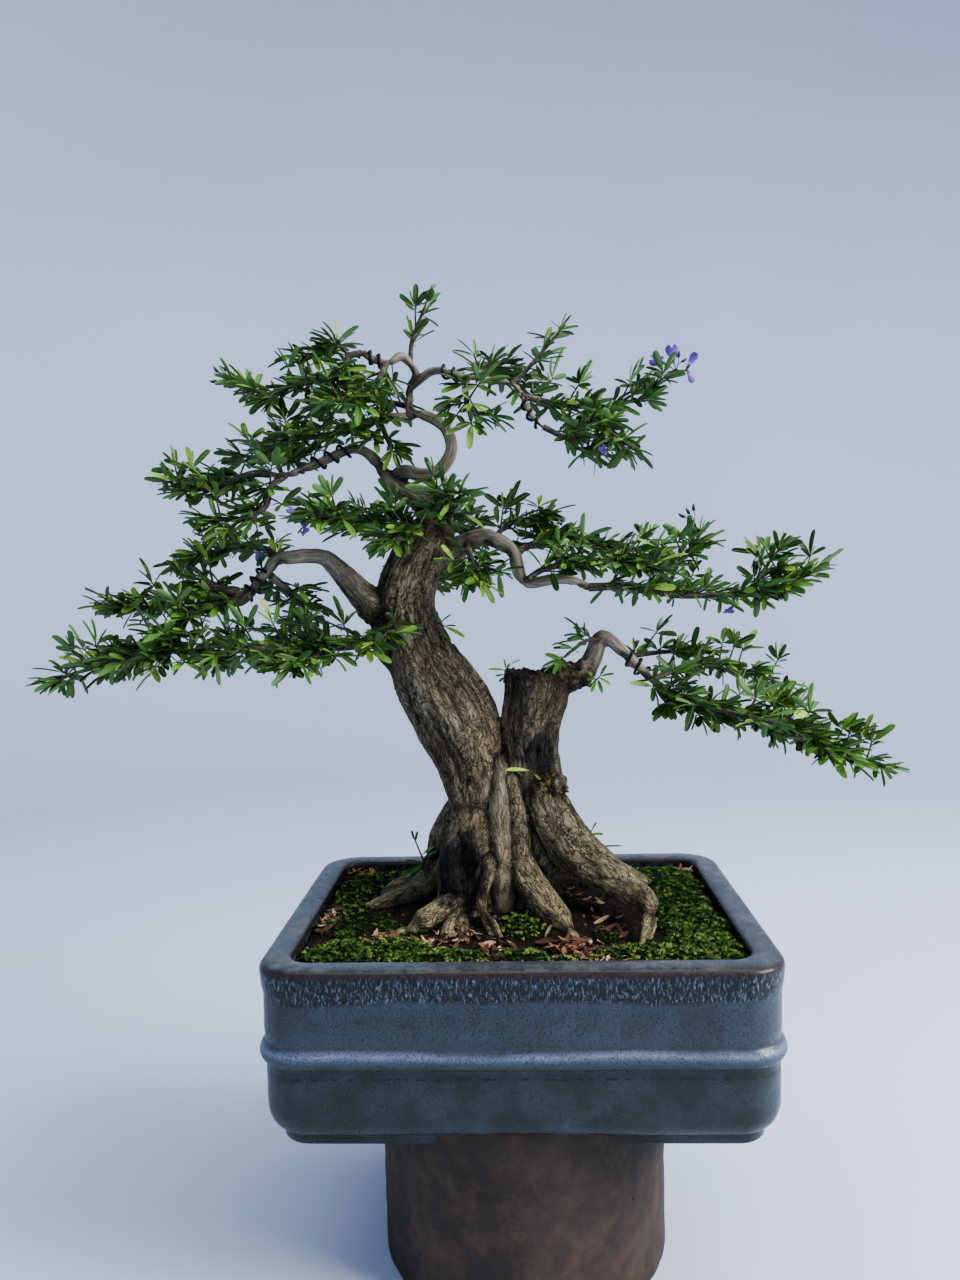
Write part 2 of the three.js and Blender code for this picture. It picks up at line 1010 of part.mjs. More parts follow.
// A side twig and the leaves that spread from its end, cut as one thin form: a narrow strip whose
// root is sunk in the stem, and blades that are widest past the middle and bend down at the tip.
function frond({ root, dir, normal, reach, blades, strip = 0.85 }) {
  const across = new THREE.Vector3().crossVectors(normal, dir).normalize();
  const face = new THREE.Vector3().crossVectors(dir, across);
  const neck = [
    [reach - 1.8, -strip],
    [reach + 0.5, -0.6 * strip],
    [reach + 0.5, 0.6 * strip],
    [reach - 1.8, strip],
  ];
  const outline = [[0, -strip, 0]];
  const triangles = [];
  const neckAt = [];
  neck.forEach(([x, y], k) => {
    neckAt.push(outline.length);
    outline.push([x, y, 0]);
    if (k < blades.length) outline.push(...bladeOutline(reach, blades[k]));
  });
  outline.push([0, strip, 0]);
  const last = outline.length - 1;
  triangles.push([0, neckAt[0], neckAt[3]], [0, neckAt[3], last]);
  triangles.push([neckAt[0], neckAt[1], neckAt[2]], [neckAt[0], neckAt[2], neckAt[3]]);
  for (let k = 0; k < 3; k++) {
    const p = neckAt[k];
    const a = p + 1;
    triangles.push([p, a, a + 3], [p, a + 3, neckAt[k + 1]], [a, a + 1, a + 2], [a, a + 2, a + 3]);
  }
  const place = ([x, y, z]) =>
    root.clone().addScaledVector(dir, x).addScaledVector(across, y).addScaledVector(face, z);
  return solidOf(slab(outline.map(place), triangles, face));
}

// The four side points of a blade that leaves the end of its strip at an angle.
function bladeOutline(reach, { turn, tilt, length, halfWidth }) {
  const cos = Math.cos(turn);
  const sin = Math.sin(turn);
  return [
    [0.5, -1, 0.5],
    [0.94, -0.55, 0.75],
    [0.94, 0.55, 0.75],
    [0.5, 1, 0.5],
  ].map(([along, side, lift]) => {
    const x = along * length;
    const y = side * halfWidth;
    return [reach + x * cos - y * sin, x * sin + y * cos, lift * tilt * length];
  });
}

// A thin closed form: the same triangles on both faces, and a wall round the outline.
function slab(points, triangles, face) {
  const count = points.length;
  const half = LEAF_THICKNESS / 2;
  const lower = points.map((p) => p.clone().addScaledVector(face, -half));
  const upper = points.map((p) => p.clone().addScaledVector(face, half));
  const index = triangles.flatMap(([a, b, c]) => [c, b, a, a + count, b + count, c + count]);
  for (let i = 0; i < count; i++) {
    const next = (i + 1) % count;
    index.push(i, next, next + count, i, next + count, i + count);
  }
  const positions = [...lower, ...upper].flatMap((p) => [p.x, p.y, p.z]);
  const geometry = new THREE.BufferGeometry();
  geometry.setAttribute("position", new THREE.Float32BufferAttribute(positions, 3));
  geometry.setIndex(index);
  return geometry;
}

// A frond on a stem, or nothing where it would cross what is there already.
function leafyTwig(station, seed, owner, isTip) {
  for (let attempt = 0; attempt < TURNS_TRIED; attempt++) {
    const turn = draw(seed + 0.31 + attempt) * 2 * Math.PI;
    const rise = 0.15 + 0.45 * Math.sin(turn);
    const forward = 0.45 + 0.4 * draw(seed + 0.57 + attempt);
    const dir = station.dir.clone();
    if (!isTip) {
      dir.multiplyScalar(forward).addScaledVector(station.side, Math.cos(turn));
      dir.add(new THREE.Vector3(0, 0, rise)).normalize();
    } else if (attempt > 0) {
      dir.add(new THREE.Vector3(0.3 * Math.cos(turn), 0.3 * Math.sin(turn), 0.2)).normalize();
    }
    const spread = isTip ? 0 : 12 * draw(seed + 0.73 + attempt) * Math.abs(Math.cos(turn));
    const reach = station.radius + 4 + spread;
    const flat = new THREE.Vector3(-dir.y, dir.x, 0).normalize();
    const normal = new THREE.Vector3().crossVectors(dir, flat);
    const roll = (draw(seed + 0.13 + attempt) - 0.5) * 1.6;
    normal.applyAxisAngle(dir, roll);
    const blades = BLADE_ANGLES.map((angle, k) => ({
      turn: angle,
      tilt: (draw(seed + 0.17 * k + 0.09 + attempt) - 0.35) * 0.7,
      length: LEAF_LENGTH * (0.85 + 0.3 * draw(seed + 0.41 * k + 0.05)),
      halfWidth: LEAF_HALF_WIDTH,
    }));
    const form = { root: station.at.clone(), dir, normal, reach, blades };
    const claimed = capsulesOf(form, station.radius, owner);
    if (!claimed.every((c) => isClear(c.a, c.b, c.r, owner, c.isTwig))) continue;
    taken.push(...claimed);
    return [frond(form)];
  }
  return [];
}

function capsulesOf({ root, dir, normal, reach, blades }, radius, owner) {
  const across = new THREE.Vector3().crossVectors(normal, dir).normalize();
  const end = root.clone().addScaledVector(dir, reach);
  const claimed = [{ a: root.clone().addScaledVector(dir, radius), b: end, r: 1, owner, isTwig: true }];
  for (const { turn, tilt, length } of blades) {
    const aim = dir
      .clone()
      .multiplyScalar(Math.cos(turn))
      .addScaledVector(across, Math.sin(turn))
      .addScaledVector(normal, 0.8 * tilt);
    const a = end.clone().addScaledVector(aim, 5);
    const b = end.clone().addScaledVector(aim, length - 2);
    claimed.push({ a, b, r: LEAF_HALF_WIDTH, owner });
  }
  return claimed;
}

function makeSpray(name, stems, seed) {
  const solids = [];
  stems.forEach((line, k) => {
    solids.push(limb(line, { sides: STEM_SIDES, step: STEM_STEP }));
    const path = stations(line, STATION_SPACING);
    path.forEach((station, i) => {
      const fromTip = path.length - 1 - i;
      const isKept = fromTip % STATIONS_PER_FROND === 0 && station.along > BARE_STEM_END;
      if (isKept) solids.push(...leafyTwig(station, seed + 17 * k + i, name, fromTip === 0));
    });
  });
  return united(solids);
}

// Flowers: a raised banner petal between two wing petals, joined at the base.

const FLOWERS = [
  { name: "flower_left", at: [143, 22, 480], lean: [-1, -0.2, 0.3] },
  { name: "flower_top", at: [148, 26, 481], lean: [0.1, 0.3, 1] },
  { name: "flower_right", at: [153, 20, 478], lean: [0.9, -0.5, 0.5] },
  { name: "flower_hanging", at: [151, 14, 470], lean: [0.3, -0.6, -0.9] },
];

function makeFlower({ at, lean }) {
  const blades = [
    { turn: -1.2, tilt: 0.3, length: 11, halfWidth: 3.4 },
    { turn: 0, tilt: -0.25, length: 13, halfWidth: 4.6 },
    { turn: 1.2, tilt: 0.3, length: 11, halfWidth: 3.4 },
  ];
  const root = new THREE.Vector3(...at);
  const dir = new THREE.Vector3(...lean).normalize();
  const normal = new THREE.Vector3(0, -1, 0).projectOnPlane(dir).normalize();
  return frond({ root, dir, normal, reach: 3.5, blades, strip: 1.1 });
}

// Soil, mounded a little round the trunk, with holes that the roots and stems stand in.

function makeSoil() {
  const width = POT_WIDTH - 2 * RIM_WIDTH - 2 * GAP;
  const depth = POT_DEPTH - 2 * RIM_WIDTH - 2 * GAP;
  const body = skin([
    rectangleRing(width - 20, depth - 20, 20, -SOIL_DEPTH + GAP),
    rectangleRing(width, depth, 20, -SOIL_DEPTH + 14 + GAP),
    rectangleRing(width, depth, 20, 0),
  ]);
  const mound = new THREE.SphereGeometry(1, 16, 8);
  mound.scale(112, 78, 11);
  mound.translate(-4, 4, -3);
  const potMouth = new THREE.BoxGeometry(width, depth, 60);
  let soil = solidOf(body).add(solidOf(mound).intersect(solidOf(potMouth)));
  for (const side of [-1, 1]) {
    const roomSide = NET_SIDE + 2 * GAP;
    const netRoom = new THREE.BoxGeometry(roomSide, roomSide, 2 * (NET_THICKNESS + 3 * GAP));
    netRoom.translate(side * DRAIN_OFFSET, 0, -SOIL_DEPTH);
    soil = soil.subtract(solidOf(netRoom));
  }
  return largest(soil.subtract(woodRoom));
}

// Moss cushions on the open soil.

const MOSS = [
  { name: "moss_front_right", x: 112, y: -98, rx: 56, ry: 27, height: 6 },
  { name: "moss_front_left", x: -112, y: -88, rx: 48, ry: 32, height: 5 },
  { name: "moss_right", x: 143, y: 20, rx: 24, ry: 44, height: 6 },
  { name: "moss_back_left", x: -120, y: 90, rx: 48, ry: 26, height: 6 },
];

function makeMoss({ x, y, rx, ry, height }) {
  const sides = 14;
  const ring = (scale, z, lumps) =>
    Array.from({ length: sides }, (_, i) => {
      const angle = (i / sides) * 2 * Math.PI;
      const wave = 1 + lumps * (Math.sin(3 * angle + x) + Math.sin(5 * angle + y));
      return new THREE.Vector3(
        x + rx * scale * wave * Math.cos(angle),
        y + ry * scale * wave * Math.sin(angle),
        z,
      );
    });
  return solidOf(
    skin([
      ring(0.98, GAP, 0.05),
      ring(1, height * 0.45, 0.05),
      ring(0.8, height * 0.9, 0.04),
      ring(0.4, height, 0.02),
    ]),
  );
}

// Putting it together

makeColumn();
makePot();
makeDrainNet("drain_net_left", -1);
makeDrainNet("drain_net_right", 1);
add(ground, "soil", makeSoil(), "soil");
for (const moss of MOSS) add(ground, moss.name, largest(makeMoss(moss).subtract(woodRoom)), "moss");
add(ground, "wood", wood, "bark");

let room = woodRoom;
for (const wire of WIRES) {
  add(ground, wire.name, makeWire(wire, 0), "wire");
  room = room.add(makeWire(wire, GAP));
}

for (const { line } of Object.values(WOOD)) takeLine(line, "wood");
for (const [name, stems] of Object.entries(SPRAYS)) {
  for (const line of stems) takeLine(line, name);
}
for (const flower of FLOWERS) {
  const at = new THREE.Vector3(...flower.at);
  const above = at.clone().add(new THREE.Vector3(0, 0, 1));
  taken.push({ a: at, b: above, r: FLOWER_ROOM, owner: flower.name });
}
Object.entries(SPRAYS).forEach(([name, stems], i) => {
  const spray = makeSpray(name, stems, 100 * (i + 1));
  add(ground, "leaves_" + name, largest(spray.subtract(room)), "leaf");
});
for (const flower of FLOWERS) add(ground, flower.name, makeFlower(flower), "flower");

export default part;
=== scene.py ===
# A flowering desmodium grown as a bonsai: a leaning trunk and a sawn-off second trunk on one root
# base, in a glazed pot that stands on a round column. The scene is in metres, +Z up, and is seen
# from -Y. Sizes that end in _MM, and all points and sizes of the tree, the soil and the moss, are in
# millimetres.
import math
from collections import namedtuple
from itertools import combinations

import bpy
import numpy as np
from mathutils import Matrix, Vector, noise


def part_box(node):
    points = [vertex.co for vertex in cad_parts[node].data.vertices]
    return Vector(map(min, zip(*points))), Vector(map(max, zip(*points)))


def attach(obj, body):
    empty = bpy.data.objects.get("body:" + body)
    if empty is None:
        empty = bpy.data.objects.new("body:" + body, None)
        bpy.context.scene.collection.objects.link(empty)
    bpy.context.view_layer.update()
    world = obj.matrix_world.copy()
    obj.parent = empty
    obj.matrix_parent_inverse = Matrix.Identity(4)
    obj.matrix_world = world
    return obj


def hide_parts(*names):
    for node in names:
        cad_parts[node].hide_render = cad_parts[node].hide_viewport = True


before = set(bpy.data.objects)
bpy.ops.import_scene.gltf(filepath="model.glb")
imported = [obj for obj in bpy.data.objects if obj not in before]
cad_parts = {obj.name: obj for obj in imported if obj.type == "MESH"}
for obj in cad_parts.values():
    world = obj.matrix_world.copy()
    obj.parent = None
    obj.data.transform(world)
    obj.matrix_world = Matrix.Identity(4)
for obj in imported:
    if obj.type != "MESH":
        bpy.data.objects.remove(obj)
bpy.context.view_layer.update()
MM = 0.001

# Column
# A short round pillar cast from brown-stained concrete, with air pores left by the form and both
# edges rubbed round. The pot stands loose on its flat top.

column_low, column_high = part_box("column")
COLUMN_RADIUS = (column_high.x - column_low.x) / 2
COLUMN_TOP = column_high.z
COLUMN_EDGE = 2.5 * MM
COLUMN_SIDES = 160
COLUMN_ROWS = 40


def tint(code):
    """A colour written as sRGB hex, as the shader wants it."""
    parts = [int(code[i : i + 2], 16) / 255 for i in (0, 2, 4)]
    return (*[p / 12.92 if p <= 0.04045 else ((p + 0.055) / 1.055) ** 2.4 for p in parts], 1.0)


class Finish:
    """A material: one principled shader, and short names for the procedural nodes that feed it."""

    def __init__(self, name, **constants):
        self.material = bpy.data.materials.new(name)
        self.material.use_nodes = True
        self.tree = self.material.node_tree
        self.shader = self.tree.nodes["Principled BSDF"]
        for socket, value in constants.items():
            self.shader.inputs[socket.replace("_", " ")].default_value = value
        self.place = self.node("TexCoord", out="Object")

    def node(self, kind, inputs=None, out=0, **settings):
        made = self.tree.nodes.new("ShaderNode" + kind)
        for key, value in settings.items():
            setattr(made, key, value)
        for key, value in (inputs or {}).items():
            if isinstance(value, bpy.types.NodeSocket):
                self.tree.links.new(value, made.inputs[key])
            else:
                made.inputs[key].default_value = value
        return made.outputs[out]

    def stored(self, name, out="Fac"):
        return self.node("Attribute", out=out, attribute_name=name)

    def split(self, vector, axis):
        return self.node("SeparateXYZ", {0: vector}, out=axis)

    def stretched(self, vector, x, y, z):
        return self.node("Mapping", {"Vector": vector, "Scale": (x, y, z)})

    def clouds(self, scale, at=None, detail=4, rough=0.55, warp=0):
        inputs = {"Vector": at or self.place, "Scale": scale, "Detail": detail}
        return self.node("TexNoise", {**inputs, "Roughness": rough, "Distortion": warp})

    def clouds_vector(self, scale):
        """Noise that pushes a place about, from -0.5 to 0.5 each way."""
        made = self.node("TexNoise", {"Vector": self.place, "Scale": scale}, out="Color")
        return self.node("VectorMath", {0: made, 1: (0.5, 0.5, 0.5)}, operation="SUBTRACT")

    def cells(self, scale, at=None, feature="F1"):
        inputs = {"Vector": at or self.place, "Scale": scale}
        return self.node("TexVoronoi", inputs, out="Distance", feature=feature)

    def span(self, value, low, high, to_low=0.0, to_high=1.0):
        inputs = {0: value, 1: low, 2: high, 3: to_low, 4: to_high}
        return self.node("MapRange", inputs)

    def maths(self, how, a, b=0.0):
        return self.node("Math", {0: a, 1: b}, operation=how)

    def times(self, a, b):
        return self.maths("MULTIPLY", a, b)

    def plus(self, a, b):
        return self.maths("ADD", a, b)

    def minus(self, a, b):
        return self.maths("SUBTRACT", a, b)

    def ramp(self, value, *stops):
        made = self.tree.nodes.new("ShaderNodeValToRGB")
        band = made.color_ramp
        while len(band.elements) < len(stops):
            band.elements.new(0.5)
        for element, (position, colour) in zip(band.elements, stops):
            element.position = position
            element.color = tint(colour)
        self.tree.links.new(value, made.inputs[0])
        return made.outputs[0]

    def mixed(self, share, a, b):
        """Colour a, turned into b by a share from 0 to 1. A colour is a node's or sRGB hex."""
        made = self.tree.nodes.new("ShaderNodeMix")
        made.data_type = "RGBA"
        for socket, value in zip((made.inputs[0], made.inputs[6], made.inputs[7]), (share, a, b)):
            if isinstance(value, str):
                socket.default_value = tint(value)
            else:
                self.tree.links.new(value, socket)
        return made.outputs[2]

    def tinged(self, base, code, field, low, high, most):
        """The base colour, turned towards another as a field goes from low to high."""
        return self.mixed(self.span(field, low, high, 0, most), base, code)

    def bumps(self, height, depth, under=None):
        inputs = {"Height": height, "Distance": depth, "Strength": 1.0}
        if under:
            inputs["Normal"] = under
        return self.node("Bump", inputs)

    def wear(self, **sockets):
        for socket, value in sockets.items():
            self.tree.links.new(value, self.shader.inputs[socket.replace("_", " ")])


def piece(name, points, faces, *finishes, smooth=True):
    """A mesh object from points in metres."""
    mesh = bpy.data.meshes.new(name)
    mesh.from_pydata([tuple(p) for p in points], [], faces)
    for finish in finishes:
        mesh.materials.append(finish.material)
    if smooth:
        mesh.shade_smooth()
    made = bpy.data.objects.new(name, mesh)
    bpy.context.scene.collection.objects.link(made)
    return made


def seat(made, slot, *nodes):
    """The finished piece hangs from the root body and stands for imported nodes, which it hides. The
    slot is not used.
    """
    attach(made, "root")
    if nodes:
        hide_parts(*nodes)


def angles_round(count):
    """Even steps once round, in radians."""
    return [i / count * 2 * math.pi for i in range(count)]


def circle(radius, z, sides, x=0, y=0):
    return [(x + radius * math.cos(a), y + radius * math.sin(a), z) for a in angles_round(sides)]


def skin(rings, closed=True):
    """Points and faces over rings of the same length, each run anticlockwise, with ends closed."""
    sides = len(rings[0])
    points = [p for ring in rings for p in ring]
    faces = []
    for k in range(len(rings) - 1):
        for i in range(sides):
            j = (i + 1) % sides
            faces.append((k * sides + i, k * sides + j, (k + 1) * sides + j, (k + 1) * sides + i))
    if closed:
        faces.append(tuple(reversed(range(sides))))
        faces.append(tuple(range(len(points) - sides, len(points))))
    return points, faces


def make_column():
    flat, rubbed = COLUMN_RADIUS - COLUMN_EDGE, 0.3 * COLUMN_EDGE
    shaft = COLUMN_TOP - 2 * COLUMN_EDGE
    profile = [(COLUMN_RADIUS / 2, 0), (flat, 0), (COLUMN_RADIUS - rubbed, rubbed)]
    for i in range(COLUMN_ROWS + 1):
        profile.append((COLUMN_RADIUS, COLUMN_EDGE + shaft * i / COLUMN_ROWS))
    profile += [(COLUMN_RADIUS - rubbed, COLUMN_TOP - rubbed), (flat, COLUMN_TOP)]
    profile.append((COLUMN_RADIUS / 2, COLUMN_TOP))
    rings = []
    for radius, z in profile:
        ring = []
        for x, y, _ in circle(1, z, COLUMN_SIDES):
            worn = 0.7 * noise.noise((9 * x, 9 * y, 60 * z)) - 0.6
            worn += 0.25 * noise.noise((30 * x, 30 * y, 240 * z))
            ring.append(((radius + worn * MM) * x, (radius + worn * MM) * y, z))
        rings.append(ring)
    return skin(rings)


concrete = Finish("stained_concrete", Roughness=0.82)
stain = concrete.clouds(11, detail=6, rough=0.62, warp=0.4)
grit = concrete.clouds(260, detail=5, rough=0.7)
patches = concrete.clouds(48, detail=7, rough=0.68)
body_colour = concrete.ramp(
    stain, (0.28, "1f160f"), (0.45, "2f241d"), (0.6, "41342b"), (0.76, "504137")
)
blotched = concrete.tinged(body_colour, "5b4a3c", patches, 0.46, 0.66, 0.75)
sooty = concrete.tinged(blotched, "1a1310", patches, 0.46, 0.3, 0.7)
gritty = concrete.tinged(sooty, "342a21", grit, 0.3, 0.75, 0.5)
pore_field = concrete.cells(52)
pores = concrete.span(pore_field, 0.05, 0.09, 1, 0)
chosen = concrete.span(concrete.clouds(37, detail=0), 0.5, 0.54)
pitted = concrete.times(pores, chosen)
concrete.wear(
    Base_Color=concrete.mixed(pitted, gritty, "0c0907"),
    Normal=concrete.bumps(concrete.minus(grit, concrete.times(pitted, 2.5)), 0.7 * MM),
    Roughness=concrete.span(patches, 0.3, 0.7, 0.7, 0.92),
)
seat(piece("column_cast", *make_column(), concrete), "column", "column")

# Pot
# Stoneware pressed in a mould: straight walls with a half-round belt, a flat banded rim, rounded
# lower edges and four corner feet. One blue-grey glaze, run thin and brown along the rim's edge.

pot_low, pot_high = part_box("pot")
POT_BASE = pot_low.z
POT_HEIGHT_MM = (pot_high.z - pot_low.z) / MM
BELT_PROUD_MM = 1.6
BELT_FOOT_MM = 63.5
BELT_HEIGHT_MM = 15
WALL_AT_BELT_MM = 2.2
POT_WIDTH_MM = (pot_high.x - pot_low.x) / MM - 2 * BELT_PROUD_MM
POT_DEPTH_MM = (pot_high.y - pot_low.y) / MM - 2 * BELT_PROUD_MM
POT_CORNER_MM = 34
INNER_CORNER_MM = 20
ARC_STEPS = 12
STRAIGHT_STEPS = 26
UNEVEN_MM = 0.45
RIM_WIDTH_MM = 23
FOOT_HEIGHT_MM = 8
FLOOR_MM = 14
FOOT_INSET_MM = 15
FOOT_LENGTH_MM = 115
FOOT_DEPTH_MM = 88
FOOT_CORNER_MM = 22
DRAIN_RADIUS_MM = 11
net_low, net_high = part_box("drain_net_right")
DRAIN_OFFSET_MM = (net_low.x + net_high.x) / 2 / MM
# Edges that turn more sharply than this are shaded as edges
CREASE = math.radians(50)


def rounded_outline(width, depth, corner, z):
    """A rounded rectangle in millimetres, anticlockwise, with points along its straight sides too."""
    arcs = []
    for quarter, (sx, sy) in enumerate(((1, 1), (-1, 1), (-1, -1), (1, -1))):
        cx, cy = sx * (width / 2 - corner), sy * (depth / 2 - corner)
        angles = [(quarter + i / ARC_STEPS) * math.pi / 2 for i in range(ARC_STEPS + 1)]
        arcs.append([(cx + corner * math.cos(a), cy + corner * math.sin(a), z) for a in angles])
    ring = []
    for arc, following in zip(arcs, arcs[1:] + arcs[:1]):
        x, y, _ = arc[-1]
        next_x, next_y, _ = following[0]
        shares = [i / STRAIGHT_STEPS for i in range(1, STRAIGHT_STEPS)]
        ring += arc
        ring += [(x + (next_x - x) * share, y + (next_y - y) * share, z) for share in shares]
    return ring


def pot_profile():
    """(height, inset) up the outside, over the rim and down inside to the floor, in millimetres."""
    # The rounded lower edge, then the wall with two fine ridges under the belt
    profile = [(FOOT_HEIGHT_MM, 24)]
    for i in range(11):
        turn = i / 10 * math.pi / 2
        profile.append((FOOT_HEIGHT_MM + 22 * (1 - math.cos(turn)), 3 + 14 * (1 - math.sin(turn))))
    profile += [(40, 3), (50, 2.9), (55.5, 2.8), (57.2, 3.2), (58.8, 2.9), (62, 2.8)]
    # The belt
    for i in range(14):
        proud = (WALL_AT_BELT_MM + BELT_PROUD_MM) * math.sin(i / 14 * math.pi) ** 0.8
        profile.append((BELT_FOOT_MM + BELT_HEIGHT_MM * i / 14, WALL_AT_BELT_MM - proud))
    # The wall above, flaring a little into the band of the rim
    profile += [(78.6, 2.3), (80, 2.8), (81.5, 2.4), (88, 2), (98, 2), (108, 2), (114, 2)]
    profile += [(118, 1.4), (122, 0.7), (127, 0.3), (132, 0)]
    # The rim's rounded outer edge, its top, and its inner edge
    for i in range(1, 8):
        turn = i / 7 * math.pi / 2
        profile.append((133.5 + 6 * math.sin(turn), 6 * (1 - math.cos(turn))))
    profile += [(139.9, 9), (POT_HEIGHT_MM, 13), (139.9, 17)]
    for i in range(6):
        turn = i / 5 * math.pi / 2
        profile.append((135.6 + 4 * math.cos(turn), 19 + 4 * math.sin(turn)))
    # The inside, down to the floor
    profile += [(128, RIM_WIDTH_MM), (110, RIM_WIDTH_MM), (70, RIM_WIDTH_MM), (36, RIM_WIDTH_MM)]
    profile += [(26, 26), (FOOT_HEIGHT_MM + FLOOR_MM, 33)]
    return profile


def pot_wall():
    rings = []
    for z, inset in pot_profile():
        inside = inset >= RIM_WIDTH_MM - 4 and z > FOOT_HEIGHT_MM + 1
        corner = POT_CORNER_MM - inset * 0.55
        if inside:
            corner = INNER_CORNER_MM - (inset - RIM_WIDTH_MM) * 0.2
        width, depth = POT_WIDTH_MM - 2 * inset, POT_DEPTH_MM - 2 * inset
        ring = []
        for x, y, z in rounded_outline(width, depth, corner, z):
            # A pressed wall is never quite true: it swells and dips by a fraction of a millimetre.
            is_wall = FOOT_HEIGHT_MM < z < POT_HEIGHT_MM - 2
            uneven = UNEVEN_MM * noise.noise((x / 60, y / 60, z / 45)) if is_wall else 0
            shift = 1 + uneven / math.hypot(x, y)
            ring.append((x * shift * MM, y * shift * MM, z * MM + POT_BASE))
        rings.append(ring)
    return skin(rings)


def foot(sx, sy):
    """A corner foot: a low plate, rounded at the pot's corner, whose inner ends slope up."""
    outer_x, outer_y = POT_WIDTH_MM / 2 - FOOT_INSET_MM, POT_DEPTH_MM / 2 - FOOT_INSET_MM
    cut = 5

    def ring(z, inner, chamfer):
        edge = []
        for i in range(7):
            angle = math.pi / 2 - i / 6 * math.pi / 2
            x = outer_x - chamfer - FOOT_CORNER_MM + FOOT_CORNER_MM * math.cos(angle)
            y = outer_y - chamfer - FOOT_CORNER_MM + FOOT_CORNER_MM * math.sin(angle)
            edge.append((x, y))
        far_x, far_y = outer_x - FOOT_LENGTH_MM - inner, outer_y - FOOT_DEPTH_MM - inner
        near_x, near_y = outer_x - chamfer, outer_y - chamfer
        edge += [(near_x, far_y + cut), (near_x - cut, far_y), (far_x + cut, far_y)]
        edge += [(far_x, far_y + cut), (far_x, near_y)]
        turned = [(sx * x * MM, sy * y * MM, z * MM + POT_BASE) for x, y in edge]
        return turned if sx * sy < 0 else turned[::-1]

    lift = FOOT_HEIGHT_MM + 2
    return skin([ring(0, -1, 2.2), ring(0.7, 0, 0.7), ring(2, 2, 0), ring(lift, 9, 0)])


def carve(made, form, how):
    """Joins a closed form to a piece, or cuts it away, and leaves one closed mesh."""
    tool = piece("carving_tool", *form)
    step = made.modifiers.new("carve", "BOOLEAN")
    step.operation = how
    step.solver = "EXACT"
    step.object = tool
    settle(made)
    bpy.data.objects.remove(tool)


def settle(made):
    """Applies a piece's modifiers to its mesh."""
    graph = bpy.context.evaluated_depsgraph_get()
    shaped = bpy.data.meshes.new_from_object(made.evaluated_get(graph))
    made.modifiers.clear()
    old = made.data
    made.data = shaped
    bpy.data.meshes.remove(old)


glaze = Finish(
    "blue_grey_glaze", Roughness=0.3, Specular_IOR_Level=0.3, Coat_Weight=0.12, Coat_Roughness=0.15
)
height = glaze.span(glaze.split(glaze.place, 2), POT_BASE, POT_BASE + POT_HEIGHT_MM * MM)
drift = glaze.clouds(9, detail=3, rough=0.5)
wander = glaze.times(glaze.minus(drift, 0.5), 0.07)
level = glaze.plus(height, wander)
# Colour by height: mostly the glaze's own bands, but the bright band on the belt's upper half is a
# painted highlight and the dark band just under the belt is painted shade.
bands_and_painted_belt_light = glaze.ramp(
    level, (0.04, "0b0a09"), (0.11, "1a201c"), (0.3, "222c26"), (0.4, "222b26"), (0.44, "14191a"),
    (0.48, "2c3336"), (0.515, "49525c"), (0.54, "748199"), (0.565, "3c454f"), (0.7, "353a41"),
    (0.84, "353d49"), (1.0, "434b53"),
)
cloudy = glaze.tinged(bands_and_painted_belt_light, "4a5465", glaze.clouds(26, detail=5, rough=0.6), 0.42, 0.72, 0.45)
tealed = glaze.tinged(cloudy, "1f2a29", glaze.clouds(17, detail=4), 0.5, 0.72, 0.3)
fine_speck = glaze.span(glaze.clouds(800, detail=3, rough=0.7), 0.52, 0.62, 0, 0.75)
pin_speck = glaze.span(glaze.cells(420), 0.12, 0.2, 1, 0)
speck_chance = glaze.span(glaze.clouds(140, detail=1), 0.5, 0.56)
pins = glaze.times(pin_speck, speck_chance)
specked = glaze.mixed(glaze.maths("MAXIMUM", fine_speck, pins), tealed, "0c1117")
runs = glaze.clouds(1, at=glaze.stretched(glaze.place, 640, 640, 190), detail=3, rough=0.7)
run_edge = glaze.plus(height, glaze.times(drift, 0.14))
run_zone = glaze.times(glaze.span(run_edge, 0.875, 0.9), glaze.span(height, 0.995, 0.965))
run_share = glaze.times(run_zone, glaze.span(runs, 0.5, 0.55, 1, 0))
run_down = glaze.mixed(glaze.times(run_share, 0.95), specked, "070a0d")
run_light = glaze.times(run_zone, glaze.span(runs, 0.58, 0.68, 0, 0.7))
run_lit = glaze.mixed(run_light, run_down, "7d8998")
groove = glaze.times(glaze.span(height, 0.398, 0.404), glaze.span(height, 0.418, 0.411))
under_belt = glaze.times(groove, glaze.span(glaze.clouds(170, detail=3), 0.48, 0.56))
lined = glaze.mixed(under_belt, run_lit, "080b0e")
wavy_top = glaze.span(glaze.plus(height, glaze.times(wander, 0.15)), 1.001, 0.988)
thin_edge = glaze.times(glaze.span(height, 0.945, 0.97), wavy_top)
browned = glaze.mixed(glaze.times(thin_edge, 0.88), lined, "281f1d")
facing = glaze.split(glaze.node("NewGeometry", out="Normal"), 2)
on_top = glaze.span(facing, 0.75, 0.96)
grime = glaze.span(glaze.clouds(75, detail=6, rough=0.7), 0.46, 0.62, 0, 0.6)
glaze.wear(
    Base_Color=glaze.mixed(glaze.times(on_top, grime), browned, "5f6060"),
    Roughness=glaze.span(glaze.clouds(120, detail=4), 0.35, 0.7, 0.24, 0.42),
    Normal=glaze.bumps(
        glaze.clouds(60, detail=3), 0.8 * MM, glaze.bumps(glaze.plus(runs, fine_speck), 0.12 * MM)
    ),
)
pot = piece("glazed_pot", *pot_wall(), glaze)
for side in (-1, 1):
    drain_x = side * DRAIN_OFFSET_MM * MM
    ends = (POT_BASE, POT_BASE + 40 * MM)
    drain = skin([circle(DRAIN_RADIUS_MM * MM, z, 48, x=drain_x) for z in ends])
    carve(pot, drain, "DIFFERENCE")
for sx in (-1, 1):
    for sy in (-1, 1):
        carve(pot, foot(sx, sy), "UNION")
pot.data.set_sharp_from_angle(angle=CREASE)
seat(pot, "glaze", "pot")

